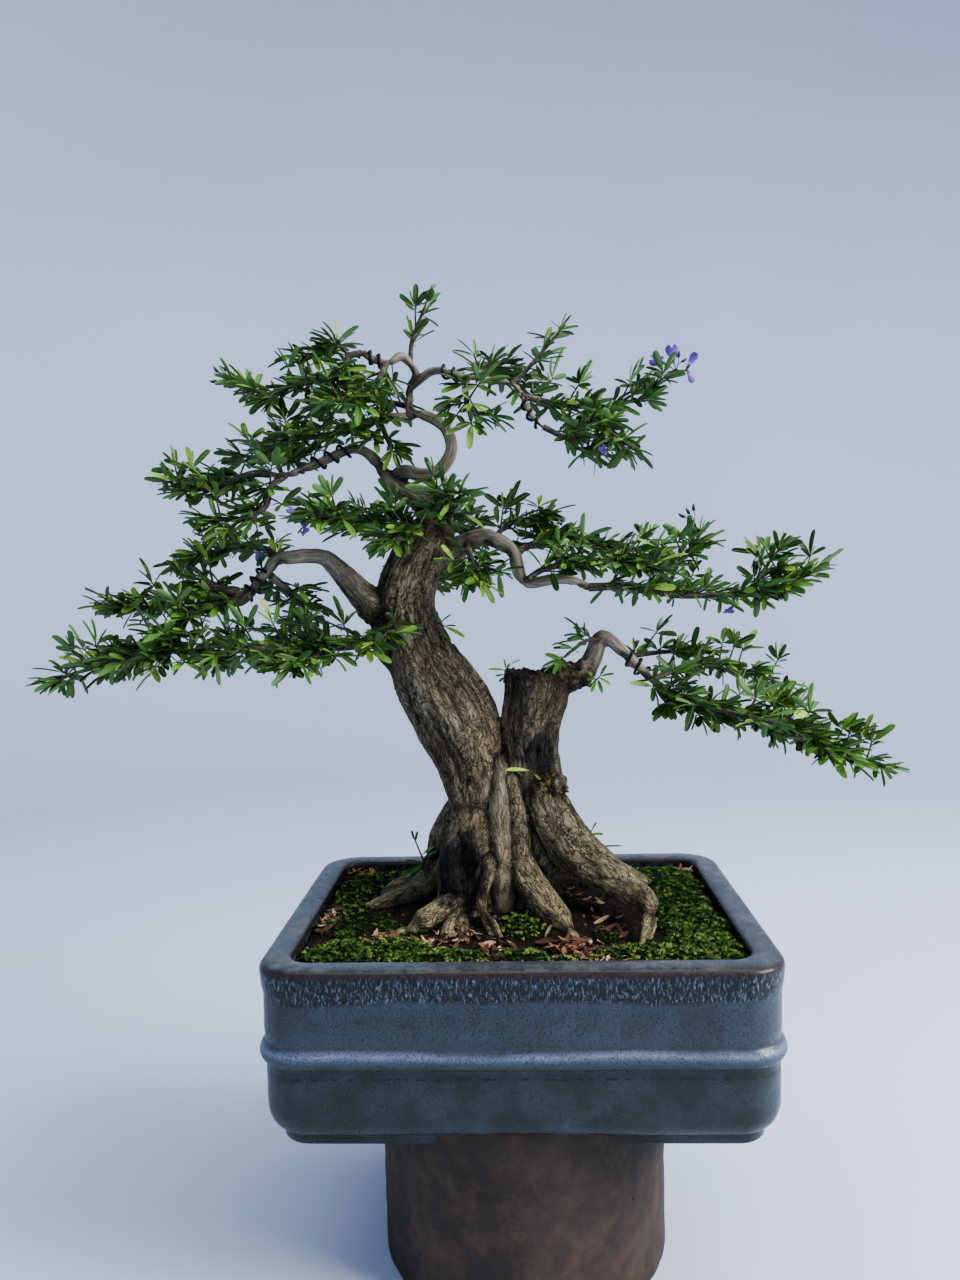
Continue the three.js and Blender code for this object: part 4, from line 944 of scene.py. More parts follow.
# Each spray: its stem, then any side stems
STEMS = {
    "low_left_upper": [
        [
            (-231, -38, 288, 4.4), (-245, -36, 291, 3.8), (-264, -30, 297, 3.4),
            (-289, -24, 284, 3), (-318, -18, 278, 2.3), (-354, -12, 280, 1.5),
        ],
    ],
    "low_left_tip": [
        [
            (-219, -36, 291, 4.4), (-229, -40, 282, 4.3), (-245, -46, 281, 4), (-264, -57, 277, 3.6),
            (-275, -68, 257, 3), (-310, -74, 240, 2.3), (-376, -66, 222, 1.3),
        ],
        [(-268, -60, 268, 2), (-272, -84, 250, 1.6), (-258, -102, 238, 1)],
        [(-300, -73, 245, 1.8), (-312, -50, 238, 1.3), (-330, -34, 236, 1)],
    ],
    "low_left_back": [
        [
            (-207, -26, 304, 3.6), (-191, 10, 281, 3), (-191, 24, 265, 2.8), (-234, 42, 241, 2.2),
            (-292, 48, 232, 1.4),
        ],
    ],
    "low_left_front": [
        [
            (-115, -10, 256, 4.5), (-136, -34, 242, 3.6), (-174, -64, 245, 2.7),
            (-215, -82, 243, 1.9), (-238, -90, 238, 1.4),
        ],
        [(-150, -46, 243, 1.8), (-160, -80, 236, 1.3), (-180, -98, 232, 1)],
    ],
    "low_left_top": [
        [(-198, -28, 315, 3.4), (-212, -14, 326, 3.1), (-241, 2, 330, 2.5), (-297, 22, 318, 1.5)],
    ],
    "arch_tip": [
        [
            (-202, -28, 389, 3.5), (-218, -30, 389, 3.3), (-243, -32, 381, 2.9),
            (-271, -31, 377, 2.1), (-287, -30, 383, 1.6),
        ],
    ],
    "arch_drop": [
        [
            (-190, -26, 388, 3.2), (-201, -38, 376, 3), (-203, -47, 360, 2.6),
            (-221, -52, 350, 2.1), (-249, -50, 352, 1.4),
        ],
    ],
    "arch_back": [
        [(-176, -24, 391, 2.8), (-191, -2, 408, 2.5), (-225, 32, 414, 1.9), (-244, 46, 410, 1.4)],
    ],
    "middle_left": [
        [(-90, -8, 338, 3.8), (-111, -34, 347, 3), (-141, -56, 349, 2.1), (-157, -64, 352, 1.5)],
    ],
    "middle_left_back": [
        [(-90, 10, 326, 3.4), (-118, 34, 338, 2.6), (-167, 62, 354, 1.8), (-195, 70, 357, 1.4)],
    ],
    "upper_left": [
        [
            (-86, 9, 440, 3.8), (-105, 0, 438, 3.5), (-131, -14, 429, 3), (-158, -26, 420, 2.4),
            (-190, -34, 416, 1.5),
        ],
        [(-112, -4, 436, 2.6), (-105, -14, 420, 2.2), (-100, -22, 409, 1.6)],
    ],
    "upper_left_back": [
        [(-87, 10, 449, 2.8), (-111, 26, 457, 2.4), (-150, 52, 465, 1.8), (-173, 62, 460, 1.4)],
    ],
    "apex_front": [
        [(-104, -10, 482, 3), (-110, -26, 464, 2.7), (-130, -44, 449, 2), (-145, -54, 443, 1.4)],
    ],
    "apex_far_left": [
        [
            (-124, -14, 491, 3), (-135, -17, 487, 2.8), (-145, -21, 470, 2.4),
            (-179, -22, 464, 1.8), (-204, -22, 454, 1.3),
        ],
        [(-134, -16, 488, 1.9), (-148, -2, 501, 1.6), (-178, 12, 494, 1.2)],
        [(-203, -22, 454, 1.3), (-219, -23, 462, 1.0), (-231, -22, 467, 0.7)],
    ],
    "apex_rise": [[(-84, 1, 482, 2.4), (-83, 10, 506, 1.9), (-71, 12, 536, 1.1)]],
    "right_top_front": [[(-34, -11, 469, 2.6), (-35, -28, 451, 2.2), (-31, -46, 426, 1.3)]],
    "right_top_back": [[(-26, -12, 467, 2.6), (-17, 12, 481, 2.3), (7, 42, 472, 1.5)]],
    "right_rise": [[(3, -18, 460, 2.4), (16, -10, 473, 2), (44, -2, 505, 1.1)]],
    "right_upper": [
        [(11, -20, 450, 2.8), (42, 0, 446, 2.4), (78, 12, 444, 1.9), (118, 20, 451, 1.4)],
        [(112, 19, 449, 1.2), (132, 21, 466, 1), (148, 22, 477, 0.9)],
    ],
    "right_drop": [
        [(29, -26, 422, 2.5), (52, -32, 411, 2.2), (68, -40, 423, 1.8), (98, -48, 401, 1.1)],
        [(52, -32, 411, 2), (60, -18, 404, 1.7), (84, 2, 405, 1.1)],
    ],
    "middle_right_tip": [
        [
            (66, -13, 287, 3.8), (105, -8, 287, 3.3), (147, -4, 278, 2.8), (209, 2, 280, 2),
            (243, 5, 287, 1.5), (264, 4, 298, 1.1),
        ],
        [(134, -5, 282, 2), (140, -20, 303, 1.8), (156, -26, 325, 1.1)],
        [(207, 2, 278, 1.8), (218, 14, 294, 1.5), (235, 20, 315, 1)],
    ],
    "middle_right_back": [
        [(1, -14, 318, 3.2), (35, 22, 330, 2.7), (83, 46, 322, 2.1), (140, 60, 309, 1.4)],
    ],
    "middle_right_front": [
        [(12, -20, 294, 3), (30, -40, 304, 2.7), (71, -66, 309, 2.1), (116, -82, 300, 1.4)],
    ],
    "middle_right_rise": [[(-15, -9, 331, 2.6), (-1, 6, 344, 2.2), (31, 20, 353, 1.4)]],
    "middle_right_low": [[(-38, -6, 328, 3), (-33, -26, 309, 2.4), (-28, -36, 298, 1.6)]],
    "top_front": [[(-62, -8, 345, 3.4), (-49, -34, 354, 2.7), (-57, -58, 366, 1.4)]],
    "top_front_left": [[(-76, -8, 340, 3.2), (-84, -38, 343, 2.6), (-93, -60, 329, 1.4)]],
    "top_back": [[(-66, 8, 342, 4), (-60, 44, 351, 3.2), (-48, 98, 341, 2), (-42, 118, 330, 1.4)]],
    "low_right_tip": [
        [
            (124, -10, 201, 4.2), (137, -14, 186, 3.8), (180, -26, 176, 3), (239, -30, 156, 2.2),
            (305, -26, 131, 1.2),
        ],
        [(196, -27, 172, 1.9), (232, -46, 164, 1.5), (268, -52, 144, 1)],
        [(214, -28, 166, 1.8), (240, -10, 164, 1.4), (266, -6, 152, 1)],
    ],
    "low_right_upper": [
        [(120, -8, 206, 3), (141, 8, 212, 2.8), (178, 30, 219, 2.2), (242, 48, 196, 1.2)],
    ],
    "low_right_front": [[(113, -8, 211, 2.8), (147, -38, 190, 2.5), (205, -74, 177, 1.3)]],
    "low_right_back": [[(98, -3, 226, 2.6), (136, 30, 227, 2), (178, 52, 225, 1.2)]],
    "stump_sprig": [[(76, 3, 241, 2), (62, -16, 241, 1.7), (44, -28, 229, 1.1)]],
    "shoulder_sprig": [[(-110, -8, 262, 2.4), (-106, -40, 252, 1.6), (-112, -50, 247, 1.2)]],
    "back_branch": [
        [(-90, 22, 286, 7), (-83, 58, 297, 4.8), (-59, 108, 303, 2.9), (-43, 128, 297, 2)],
    ],
}
LIMB_GRAIN_MM = 1.5


def stem_foot(line):
    """The first stretch of a stem, run back into the limb that carries it."""
    start, following = np.array(line[0][:3]), np.array(line[1][:3])
    buried = start - 3 * unit(following - start)
    root = [(*buried, line[0][3] * 1.05), (*start, line[0][3] * 1.1)]
    x, y, z, radius = line[2]
    return [*root, line[1], (x, y, z, radius * 0.8)]


limb_lines = {**LIMBS, **{name: stem_foot(stems[0]) for name, stems in STEMS.items()}}
limbs = grown_together("limbs", limb_lines, LIMB_GRAIN_MM)
grow_bark(limbs, limb_lines)
finish_wood(limbs)

# Soil
# Dark crumbly potting soil, mounded round the trunk and filled to just under the rim, with loose
# grit and crumbs on it and scraps of reddish bark and dead leaf blown into its hollows.

SOIL_GAP_MM = 0.3
SOIL_WIDTH_MM = POT_WIDTH_MM - 2 * RIM_WIDTH_MM - 2 * SOIL_GAP_MM
SOIL_DEPTH_MM = POT_DEPTH_MM - 2 * RIM_WIDTH_MM - 2 * SOIL_GAP_MM
SOIL_FOOT_MM = FOOT_HEIGHT_MM + FLOOR_MM - (POT_HEIGHT_MM - SOIL_BELOW_RIM_MM)
SOIL_ROWS = 64
# The mound round the trunk: the middle of an ellipsoid, and its half sizes
MOUND = ((-4, 4, -3), (112, 78, 11))
CRUMBS = 1900
# Scraps of bark: the middle of a drift, its half sizes and how many
DRIFTS = [
    (-110, -72, 24, 16, 46), (-16, -96, 14, 26, 52), (44, -86, 26, 16, 52), (70, -108, 26, 12, 40),
    (-168, -24, 9, 30, 26), (-158, 118, 14, 8, 24), (162, 112, 12, 9, 14), (78, -44, 14, 26, 26),
    (-60, -70, 30, 18, 40), (0, 100, 70, 20, 40), (60, 20, 14, 40, 16),
]
rng = np.random.default_rng(11)


def soil_height(x, y):
    """Height of the bare soil in millimetres above its level at the rim."""
    (mx, my, mz), (rx, ry, rz) = MOUND
    within = 1 - ((x - mx) / rx) ** 2 - ((y - my) / ry) ** 2
    mound = max(0.0, mz + rz * math.sqrt(within)) if within > 0 else 0.0
    lumps = 1.3 * noise.noise((x / 17, y / 17, 3)) + 0.8 * noise.noise((x / 6, y / 6, 8))
    return mound + lumps - 0.9


def make_soil():
    rings = []
    foot_z = SOIL_FOOT_MM + SOIL_GAP_MM
    for z, inset in ((foot_z, 10), (foot_z + 14, 0), (-4, 0)):
        width, depth = SOIL_WIDTH_MM - 2 * inset, SOIL_DEPTH_MM - 2 * inset
        rings.append([placed(p) for p in rounded_outline(width, depth, INNER_CORNER_MM, z)])
    outline = rounded_outline(SOIL_WIDTH_MM, SOIL_DEPTH_MM, INNER_CORNER_MM, 0)
    for k in range(SOIL_ROWS):
        share = 1 - k / SOIL_ROWS
        fall = 1.2 if k == 0 else 0.0
        ring = []
        for x, y, _ in outline:
            x, y = x * share, y * share
            grains_up = 0.5 * noise.noise((x / 2.3, y / 2.3, 1))
            ring.append(placed((x, y, soil_height(x, y) + grains_up - fall)))
        rings.append(ring)
    return skin(rings)


def ball_form(radius):
    """A twenty-faced ball."""
    golden = (1 + 5**0.5) / 2
    tips = [(-1, golden, 0), (1, golden, 0), (-1, -golden, 0), (1, -golden, 0)]
    tips += [(z, x, y) for x, y, z in tips] + [(y, z, x) for x, y, z in tips]
    points = np.array(tips, float)
    points *= radius / np.linalg.norm(points[0])
    faces = []
    edge = min(np.linalg.norm(points[0] - p) for p in points[1:]) * 1.01
    near = [[np.linalg.norm(p - q) < edge for q in points] for p in points]
    for a, b, c in combinations(range(len(points)), 3):
        if near[a][b] and near[b][c] and near[a][c]:
            out = np.cross(points[b] - points[a], points[c] - points[a]).dot(points[a])
            faces.append((a, b, c) if out > 0 else (a, c, b))
    return points, faces


def strewn(name, form, spots, turns, tones, finish):
    """Many small copies of one form in one piece, each with its own turn and tone."""
    points, faces = np.array(form[0], float), form[1]
    copies = np.einsum("pj,njk->npk", points, turns) + spots[:, None, :]
    count = len(points)
    all_faces = [tuple(i + n * count for i in face) for n in range(len(spots)) for face in faces]
    all_points = copies.reshape(-1, 3) * MM + (0, 0, SOIL_LEVEL)
    made = piece(name, all_points, all_faces, finish, smooth=False)
    store(made, "tone", np.repeat(tones, count))
    store(made, "lift", np.tile(points[:, 2], len(spots)))
    return made


def tumbled(count, sizes):
    """Random turns with a size along each axis."""
    turns = np.empty((count, 3, 3))
    for n in range(count):
        q, r = np.linalg.qr(rng.normal(size=(3, 3)))
        turns[n] = np.diag(sizes[n]) @ (q * np.sign(np.diag(r)))
    return turns


earth = Finish("dark_soil", Roughness=0.95, Specular_IOR_Level=0.2)
clods = earth.clouds(95, detail=7, rough=0.7)
grains = earth.cells(520)
damp = earth.clouds(22, detail=3)
earth_colour = earth.ramp(clods, (0.32, "0f0b09"), (0.5, "231a14"), (0.68, "3d2f25"), (0.8, "54463a"))
earth.wear(
    Base_Color=earth.tinged(earth_colour, "171310", damp, 0.45, 0.65, 0.5),
    Normal=earth.bumps(earth.minus(clods, earth.times(grains, 0.6)), 1.6 * MM),
)
seat(piece("potting_soil", *make_soil(), earth), "soil", "soil")

crumb = Finish("soil_crumb", Roughness=0.95, Specular_IOR_Level=0.2)
crumb_tone = crumb.stored("tone")
crumb_grit = crumb.clouds(700, detail=4)
crumb_colour = crumb.ramp(
    crumb_tone, (0.0, "120e0b"), (0.5, "2e231b"), (0.85, "4b3b2e"), (1.0, "7d7264")
)
crumb.wear(
    Base_Color=crumb.tinged(crumb_colour, "1a1410", crumb_grit, 0.4, 0.65, 0.5),
    Normal=crumb.bumps(crumb_grit, 0.4 * MM),
)
xs = rng.uniform(-0.5, 0.5, CRUMBS) * (SOIL_WIDTH_MM - 10)
ys = rng.uniform(-0.5, 0.5, CRUMBS) * (SOIL_DEPTH_MM - 10)
crumb_sizes = rng.uniform(0.7, 1.3, (CRUMBS, 3)) * (0.6 + 1.5 * rng.random(CRUMBS) ** 3)[:, None]
crumb_spots = np.array([(x, y, soil_height(x, y) + 0.2) for x, y in zip(xs, ys)])
crumbs = strewn(
    "soil_crumbs", ball_form(1), crumb_spots, tumbled(CRUMBS, crumb_sizes), rng.random(CRUMBS), crumb
)
seat(crumbs, "soil")


def scrap_form():
    """A torn strip of bark or dead leaf, one millimetre each way, bowed along its length."""
    rings = []
    sections = ((-1, 0.25, 0.5), (-0.55, 0.8, 0.14), (0, 1, 0), (0.5, 0.85, 0.12), (1, 0.3, 0.45))
    for x, width, lift in sections:
        z = lift * 0.9
        upper = [(x, -width, z + 0.3), (x, width, z + 0.12)]
        lower = [(x * 0.98, width * 0.8, z - 0.3), (x * 0.98, -width * 0.8, z - 0.12)]
        rings.append(upper + lower)
    return skin(rings)


def scatter_scraps():
    edge_x, edge_y = SOIL_WIDTH_MM / 2 - 7, SOIL_DEPTH_MM / 2 - 7
    spots, turns, tones = [], [], []
    for cx, cy, rx, ry, count in DRIFTS:
        for _ in range(count):
            turn, reach = rng.uniform(0, 2 * math.pi), math.sqrt(rng.random())
            x, y = cx + rx * reach * math.cos(turn), cy + ry * reach * math.sin(turn)
            x, y = max(-edge_x, min(edge_x, x)), max(-edge_y, min(edge_y, y))
            size = 0.55 + 0.75 * rng.random()
            length, width = rng.uniform(3.4, 7.4) * size, rng.uniform(1.0, 2.6) * size
            heading, slope, roll = rng.uniform(0, 2 * math.pi), rng.normal(0, 0.3), rng.normal(0, 0.5)
            aim = unit(np.array((math.cos(heading), math.sin(heading), slope)))
            side = square_to(np.array((-math.sin(heading), math.cos(heading), roll)), aim)
            spots.append((x, y, soil_height(x, y) + 1.2 + 2.2 * rng.random()))
            turns.append(np.stack((aim * length, side * width, np.cross(aim, side) * 1.5)))
            tones.append(rng.random())
    return np.array(spots), np.array(turns), np.array(tones)


scrap = Finish("bark_scrap", Roughness=0.85)
scrap_tone = scrap.stored("tone")
scrap_grain = scrap.clouds(420, detail=5, rough=0.65)
scrap_colour = scrap.ramp(
    scrap_tone, (0.0, "3a241a"), (0.4, "6b4431"), (0.7, "8f6a50"), (0.9, "b8977a"), (1.0, "cdb795")
)
scrap.wear(
    Base_Color=scrap.tinged(scrap_colour, "2c1b14", scrap_grain, 0.42, 0.64, 0.65),
    Normal=scrap.bumps(scrap_grain, 0.5 * MM),
)
scraps = strewn("bark_scraps", scrap_form(), *scatter_scraps(), scrap)
seat(scraps, "soil")

# Moss
# Cushions of moss pressed on to the open soil, each a low mound crowded with leafy stars, bright
# where the light falls and dark in the gaps between.

# Each piece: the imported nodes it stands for, its cushions as middle, half sizes and height, how
# closely its stars stand, and how yellow they are
MOSS = {
    "moss_carpet_right": (
        ["moss_right"],
        [(143, 20, 30, 50, 6), (148, 78, 27, 46, 5), (146, -34, 29, 50, 6), (128, 98, 34, 24, 4)],
        1.0, 0.5,
    ),
    "moss_carpet_front_right": (
        ["moss_front_right"],
        [(114, -105, 54, 20, 6), (146, -84, 29, 38, 6), (120, -112, 50, 15, 5)],
        1.0, 0.62,
    ),
    "moss_cushion_front_left": (
        ["moss_front_left"],
        [(-114, -92, 46, 27, 5), (-142, -100, 32, 24, 7)],
        1.2, 0.55,
    ),
    "moss_cushion_back_left": (
        ["moss_back_left"],
        [(-120, 90, 48, 26, 6), (-150, 56, 24, 46, 5), (-152, 14, 18, 22, 3)],
        0.9, 0.55,
    ),
    "moss_thin_left": ([], [(-140, -34, 34, 30, 2), (-104, -46, 26, 18, 1.5)], 0.55, 0.3),
    "moss_front_middle": ([], [(-62, -108, 37, 15, 6), (-80, -112, 24, 13, 5)], 1.0, 0.6),
    "moss_front_centre": ([], [(1, -109, 21, 14, 6)], 1.0, 0.6),
    "moss_between_roots": ([], [(3, -48, 20, 22, 6), (16, -30, 12, 12, 5)], 0.9, 0.7),
    "moss_front_strip": ([], [(42, -115, 22, 8, 3)], 0.6, 0.95),
    "moss_by_root": ([], [(72, -62, 11, 16, 3)], 0.5, 0.4),
}
STAR_SPACING_MM = 2.35


def cushion(x, y, rx, ry, height):
    """A low lumpy mound that fades into the soil at its edge."""
    rings = []
    count = 10
    for k in range(count + 1):
        share = 1 - k / (count + 0.6)
        ring = []
        for angle in angles_round(40):
            px, py = moss_edge(x, y, rx, ry, angle, share)
            ring.append(placed((px, py, moss_height(px, py, share, height))))
        rings.append(ring)
    rings.insert(0, [(px, py, SOIL_LEVEL - 2 * MM) for px, py, _ in rings[0]])
    return skin(rings)


def moss_edge(x, y, rx, ry, angle, share):
    wave = 1 + 0.05 * (math.sin(3 * angle + x) + math.sin(5 * angle + y))
    wave += 0.1 * noise.noise((2 * math.cos(angle), 2 * math.sin(angle), x))
    px = x + rx * share * wave * math.cos(angle)
    py = y + ry * share * wave * math.sin(angle)
    half_x, half_y = SOIL_WIDTH_MM / 2 - 1, SOIL_DEPTH_MM / 2 - 1
    return max(-half_x, min(half_x, px)), max(-half_y, min(half_y, py))


def moss_height(x, y, share, height):
    lumps = 1.6 * noise.noise((x / 9, y / 9, 21)) + 0.6 * noise.noise((x / 4, y / 4, 5))
    return max(0, soil_height(x, y)) + (height * 0.7 + lumps) * math.sqrt(max(0, 1 - share**2.5))


def star_form():
    """A star of five raised leaves, as a closed form one millimetre across its half width."""
    points = [(0, 0, -1.1), (0, 0, 0.25)]
    faces = []
    for i, angle in enumerate(angles_round(10)):
        reach, lift = (1.0, 0.75) if i % 2 == 0 else (0.32, 0.1)
        points.append((reach * math.cos(angle), reach * math.sin(angle), lift))
        here, following = i + 2, (i + 1) % 10 + 2
        faces += [(1, here, following), (0, following, here)]
    return points, faces


def plant_stars(cushions, closeness, yellow):
    spots, turns, tones = [], [], []
    for x, y, rx, ry, height in cushions:
        count = int(math.pi * rx * ry / STAR_SPACING_MM**2 * closeness)
        for _ in range(count):
            angle, share = rng.uniform(0, 2 * math.pi), math.sqrt(rng.random()) * 1.04
            px, py = moss_edge(x, y, rx, ry, angle, share)
            pz = moss_height(px, py, min(1, share), height) + 0.5
            if any(
                ((px - ox) / orx) ** 2 + ((py - oy) / ory) ** 2 < 0.8 and oh > height
                for ox, oy, orx, ory, oh in cushions
            ):
                continue
            bare = noise.noise((px / 8, py / 8, 3)) + 0.6 * noise.noise((px / 3.5, py / 3.5, 9))
            if bare < -0.24:
                continue
            size = rng.uniform(0.9, 1.8)
            lean = unit(np.array((rng.normal(0, 0.35), rng.normal(0, 0.35), 1.0)))
            spin = rng.uniform(0, 2 * math.pi)
            side = square_to(np.array((math.cos(spin), math.sin(spin), 0)), lean)
            spots.append((px, py, pz + 0.5 * rng.random()))
            tall = size * rng.uniform(0.9, 1.6)
            turns.append(np.stack((side * size, np.cross(lean, side) * size, lean * tall)))
            patchy = 0.8 * noise.noise((px / 14, py / 14, 2)) + 0.45 * rng.normal() + 0.4 * bare
            tones.append(clamp(yellow + 0.55 * patchy))
    return np.array(spots), np.array(turns), np.array(tones)


moss = Finish("star_moss", Roughness=0.85, Specular_IOR_Level=0.25)
moss_tone = moss.stored("tone")
moss_lift = moss.stored("lift")
moss_colour = moss.ramp(
    moss_tone, (0.0, "0d180b"), (0.3, "1e3519"), (0.6, "40632b"), (0.85, "6d8c3f"), (1.0, "a5b060")
)
# Painted light on each star: its raised tips are painted lighter as highlight, and its low middle darker
# as painted shade in the gaps.
tips_with_painted_highlight = moss.tinged(moss_colour, "6f9a48", moss_lift, 0.2, 0.75, 0.3)
moss_fuzz = moss.clouds(900, detail=3)
moss.wear(
    Base_Color=moss.tinged(tips_with_painted_highlight, "0e140a", moss_lift, 0.1, -0.5, 0.85),
    Normal=moss.bumps(moss_fuzz, 0.3 * MM),
)
# The bed under the stars is painted near-black green: partly the moss's own dark lower growth, partly
# painted shade in the gaps between stars.
moss_bed = Finish("moss_bed", Roughness=1.0, Specular_IOR_Level=0.1)
bed_fuzz = moss_bed.clouds(500, detail=5, rough=0.7)
moss_bed.wear(
    Base_Color=moss_bed.ramp(bed_fuzz, (0.35, "0c0c06"), (0.6, "1c2410"), (0.8, "33441a")),
    Normal=moss_bed.bumps(bed_fuzz, 1.2 * MM),
)
for moss_name, (nodes, cushions, closeness, yellow) in MOSS.items():
    stars = strewn(moss_name, star_form(), *plant_stars(cushions, closeness, yellow), moss)
    for number, form in enumerate(cushions):
        bed = piece(f"{moss_name}_bed_{number + 1}", *cushion(*form), moss_bed)
        seat(bed, "moss", *nodes)
    seat(stars, "moss", *nodes)

# Training wire
# Soft black aluminium wire, wound round a bare limb and bent with it. Each turn lies a quarter of a
# millimetre off the limb, where the ridges of the bark can press against it.

WIRE_RADIUS_MM = 1.3
WIRE_CLEARANCE_MM = 0.25
# Each wire: the limb it is wound on, where along it the wire starts and ends, and its pitch
WIRES = [
    ("wire_shoulder", "shoulder", 149, 174, 9),
    ("wire_left_arch", "left_arch", 46, 80, 12),
    ("wire_apex_left", "apex_left", 51, 66, 8),
    ("wire_right_rise", "apex_right", 33, 54, 10),
    ("wire_right_fall", "apex_right", 115, 142, 10),
    ("wire_lower_right", "lower_right", 109, 132, 10),
]


def coil(limb_name, start, end, pitch):
    """A helix round a stretch of a limb, in millimetres along it."""
    path = stations(LIMBS[limb_name], 2)
    steps_per_turn = 18
    count = round((end - start) / pitch * steps_per_turn)
    line = []
    for i in range(count + 1):
        along = start + (end - start) * i / count
        s = next(station for station in path if station.along >= along)
        angle = i / steps_per_turn * 2 * math.pi
        reach = s.radius + WIRE_RADIUS_MM + WIRE_CLEARANCE_MM
        turned = math.cos(angle) * s.side + math.sin(angle) * s.up
        line.append((*(s.at + (along - s.along) * s.dir + reach * turned), WIRE_RADIUS_MM))
    return line


def tube(line, step, sides):
    """Points and faces of a round stem through a table's points, in the scene."""
    rings = []
    for s in stations(line, step):
        around = [math.cos(a) * s.side + math.sin(a) * s.up for a in angles_round(sides)]
        rings.append([placed(s.at + s.radius * out) for out in around])
    return skin(rings)


wire_metal = Finish("black_wire", Metallic=0.7, Roughness=0.42)
rubbed = wire_metal.clouds(500, detail=3)
wire_metal.wear(
    Base_Color=wire_metal.ramp(rubbed, (0.4, "18181b"), (0.62, "2c2c30"), (0.8, "5a5a5e")),
    Normal=wire_metal.bumps(rubbed, 0.08 * MM),
)
for wire_name, *where in WIRES:
    wire = piece(wire_name + "_coil", *tube(coil(*where), 50, 10), wire_metal)
    wire.data.set_sharp_from_angle(angle=CREASE)
    seat(wire, "wire", wire_name)

# Sprays
# Leafy stems, one piece each: every few millimetres a short dark shoot ends in a rosette of narrow
# oblong leaves, rounded at the tip, folded a little along the midrib and turned up to the light.

SHOOT_SPACING_MM = 10
SHOOT_SPREAD_MM = 20
RISING_SHOOT_MM = 15
RISING_SHARE = 0.1
BARE_STEM_END_MM = 9
FLOWER_STALK_START_MM = 21
# Sprays that carry fewer shoots at a place than the usual three
SPARSE = {
    "apex_rise": 1, "right_rise": 1, "stump_sprig": 1, "shoulder_sprig": 1, "right_upper": 2,
    "low_right_upper": 2, "low_right_back": 1, "low_right_front": 2,
}
LEAF_LENGTH_MM = 23
LEAF_HALF_WIDTH_MM = 2.8
LEAF_CURL = 0.25
LEAF_ROWS = (0, 0.09, 0.3, 0.6, 0.86, 0.965, 1.0)
LEAF_WIDTHS = (0.16, 0.18, 0.8, 1.0, 0.88, 0.55, 0.14)
LEAF_CAMBER = 0.16
# Angles of the level fan of leaves at the end of a shoot
FAN = (-1.0, -0.1, 0.85)
GOLDEN_ANGLE = math.radians(137.5)
# Sprigs of a few leaves: the stalk, then each leaf's root and tip, its half width and its tone
LONE_SPRIGS = {
    "flank_sprig": (
        [(-76, -3, 255, 1.2), (-66, -9, 259, 0.8), (-59, -12, 256, 0.5)],
        [
            ((-60, -12, 256), (-42, -17, 246), 2.5, 0.9), ((-62, -11, 257), (-54, -18, 242), 1.5, 0.3),
            ((-66, -9, 259), (-65, -13, 269), 1.2, 0.3), ((-60, -12, 256), (-49, -18, 256), 1.5, 0.35),
            ((-67, -9, 259), (-72, -16, 246), 1.7, 0.2), ((-64, -10, 258), (-53, -10, 266), 1.1, 0.5),
        ],
    ),
    "trunk_sprig": (
        [(19, -10, 120, 0.7), (15, -21, 128, 0.5), (11, -28, 132, 0.4)],
        [((11.5, -28, 132), (-8, -32, 133), 2.3, 0.95), ((15, -21, 128), (21, -25, 123), 1.2, 0.6)],
    ),
    "base_sprout_left": (
        [(-84, 34, 28, 1.0), (-92, 34, 49, 0.7), (-96, 34, 60, 0.5)],
        [
            ((-96, 34, 57), (-98, 33, 66), 1.2, 0.3), ((-95, 34, 54), (-92, 33, 65), 1.2, 0.4),
            ((-89, 33, 42), (-71, 26, 56), 2.5, 0.6), ((-88, 32, 40), (-73, 24, 48), 2.2, 0.5),
            ((-88, 28, 36), (-102, 14, 42), 2.2, 0.4), ((-88, 28, 35), (-105, 10, 29), 2.4, 0.3),
            ((-87, 28, 34), (-103, 8, 22), 2.2, 0.35), ((-86, 28, 36), (-81, 13, 47), 2.0, 0.5),
            ((-86, 28, 34), (-82, 9, 27), 2.2, 0.2), ((-88, 28, 36), (-95, 9, 33), 2.3, 0.45),
        ],
    ),
    "base_sprout_right": (
        [(61, 44, 38, 0.9), (66, 46, 55, 0.6), (71, 46, 63, 0.45)],
        [
            ((66.5, 46, 56), (80, 43, 57), 1.9, 0.85), ((70, 46, 62), (74, 45, 68), 0.9, 0.5),
            ((63, 43, 44), (97, 38, 47), 1.1, 0.5),
        ],
    ),
    "collar_tuft": (
        [(66, -2, 200, 1.0), (70, -10, 206, 0.7), (74, -14, 210, 0.5)],
        [
            ((74, -14, 210), (86, -18, 212), 1.9, 0.5), ((73, -13, 209), (82, -19, 203), 1.8, 0.75),
            ((72, -12, 208), (75, -18, 196), 1.8, 0.45), ((71, -11, 207), (66, -18, 197), 1.7, 0.6),
            ((72, -12, 208), (63, -17, 207), 1.5, 0.35), ((74, -14, 210), (80, -16, 220), 1.6, 0.7),
        ],
    ),
    "stump_rim": (
        [(-9, 2, 205, 0.9), (-7, -2, 216, 0.7), (-3, -3, 221, 0.5)],
        [
            ((-7, -2, 216), (-22, -9, 217), 1.9, 0.8), ((-7, -3, 217), (-9, -6, 226), 1.4, 0.7),
            ((-6, -3, 218), (-3, -8, 223), 1.3, 0.5), ((-3, -3, 221), (6, -4, 225), 0.8, 0.4),
            ((-8, 0, 210), (-13, -7, 206), 1.3, 0.3), ((-8, -1, 212), (-16, -8, 211), 1.4, 0.45),
        ],
    ),
}


def draw(seed):
    """A number from 0 to 1 that looks random and is always the same for the same seed."""
    value = math.sin(seed * 12.9898) * 43758.5453
    return value - math.floor(value)


def swing(seed, width):
    """A drawn number either side of 0, over a width."""
    return (draw(seed) - 0.5) * width


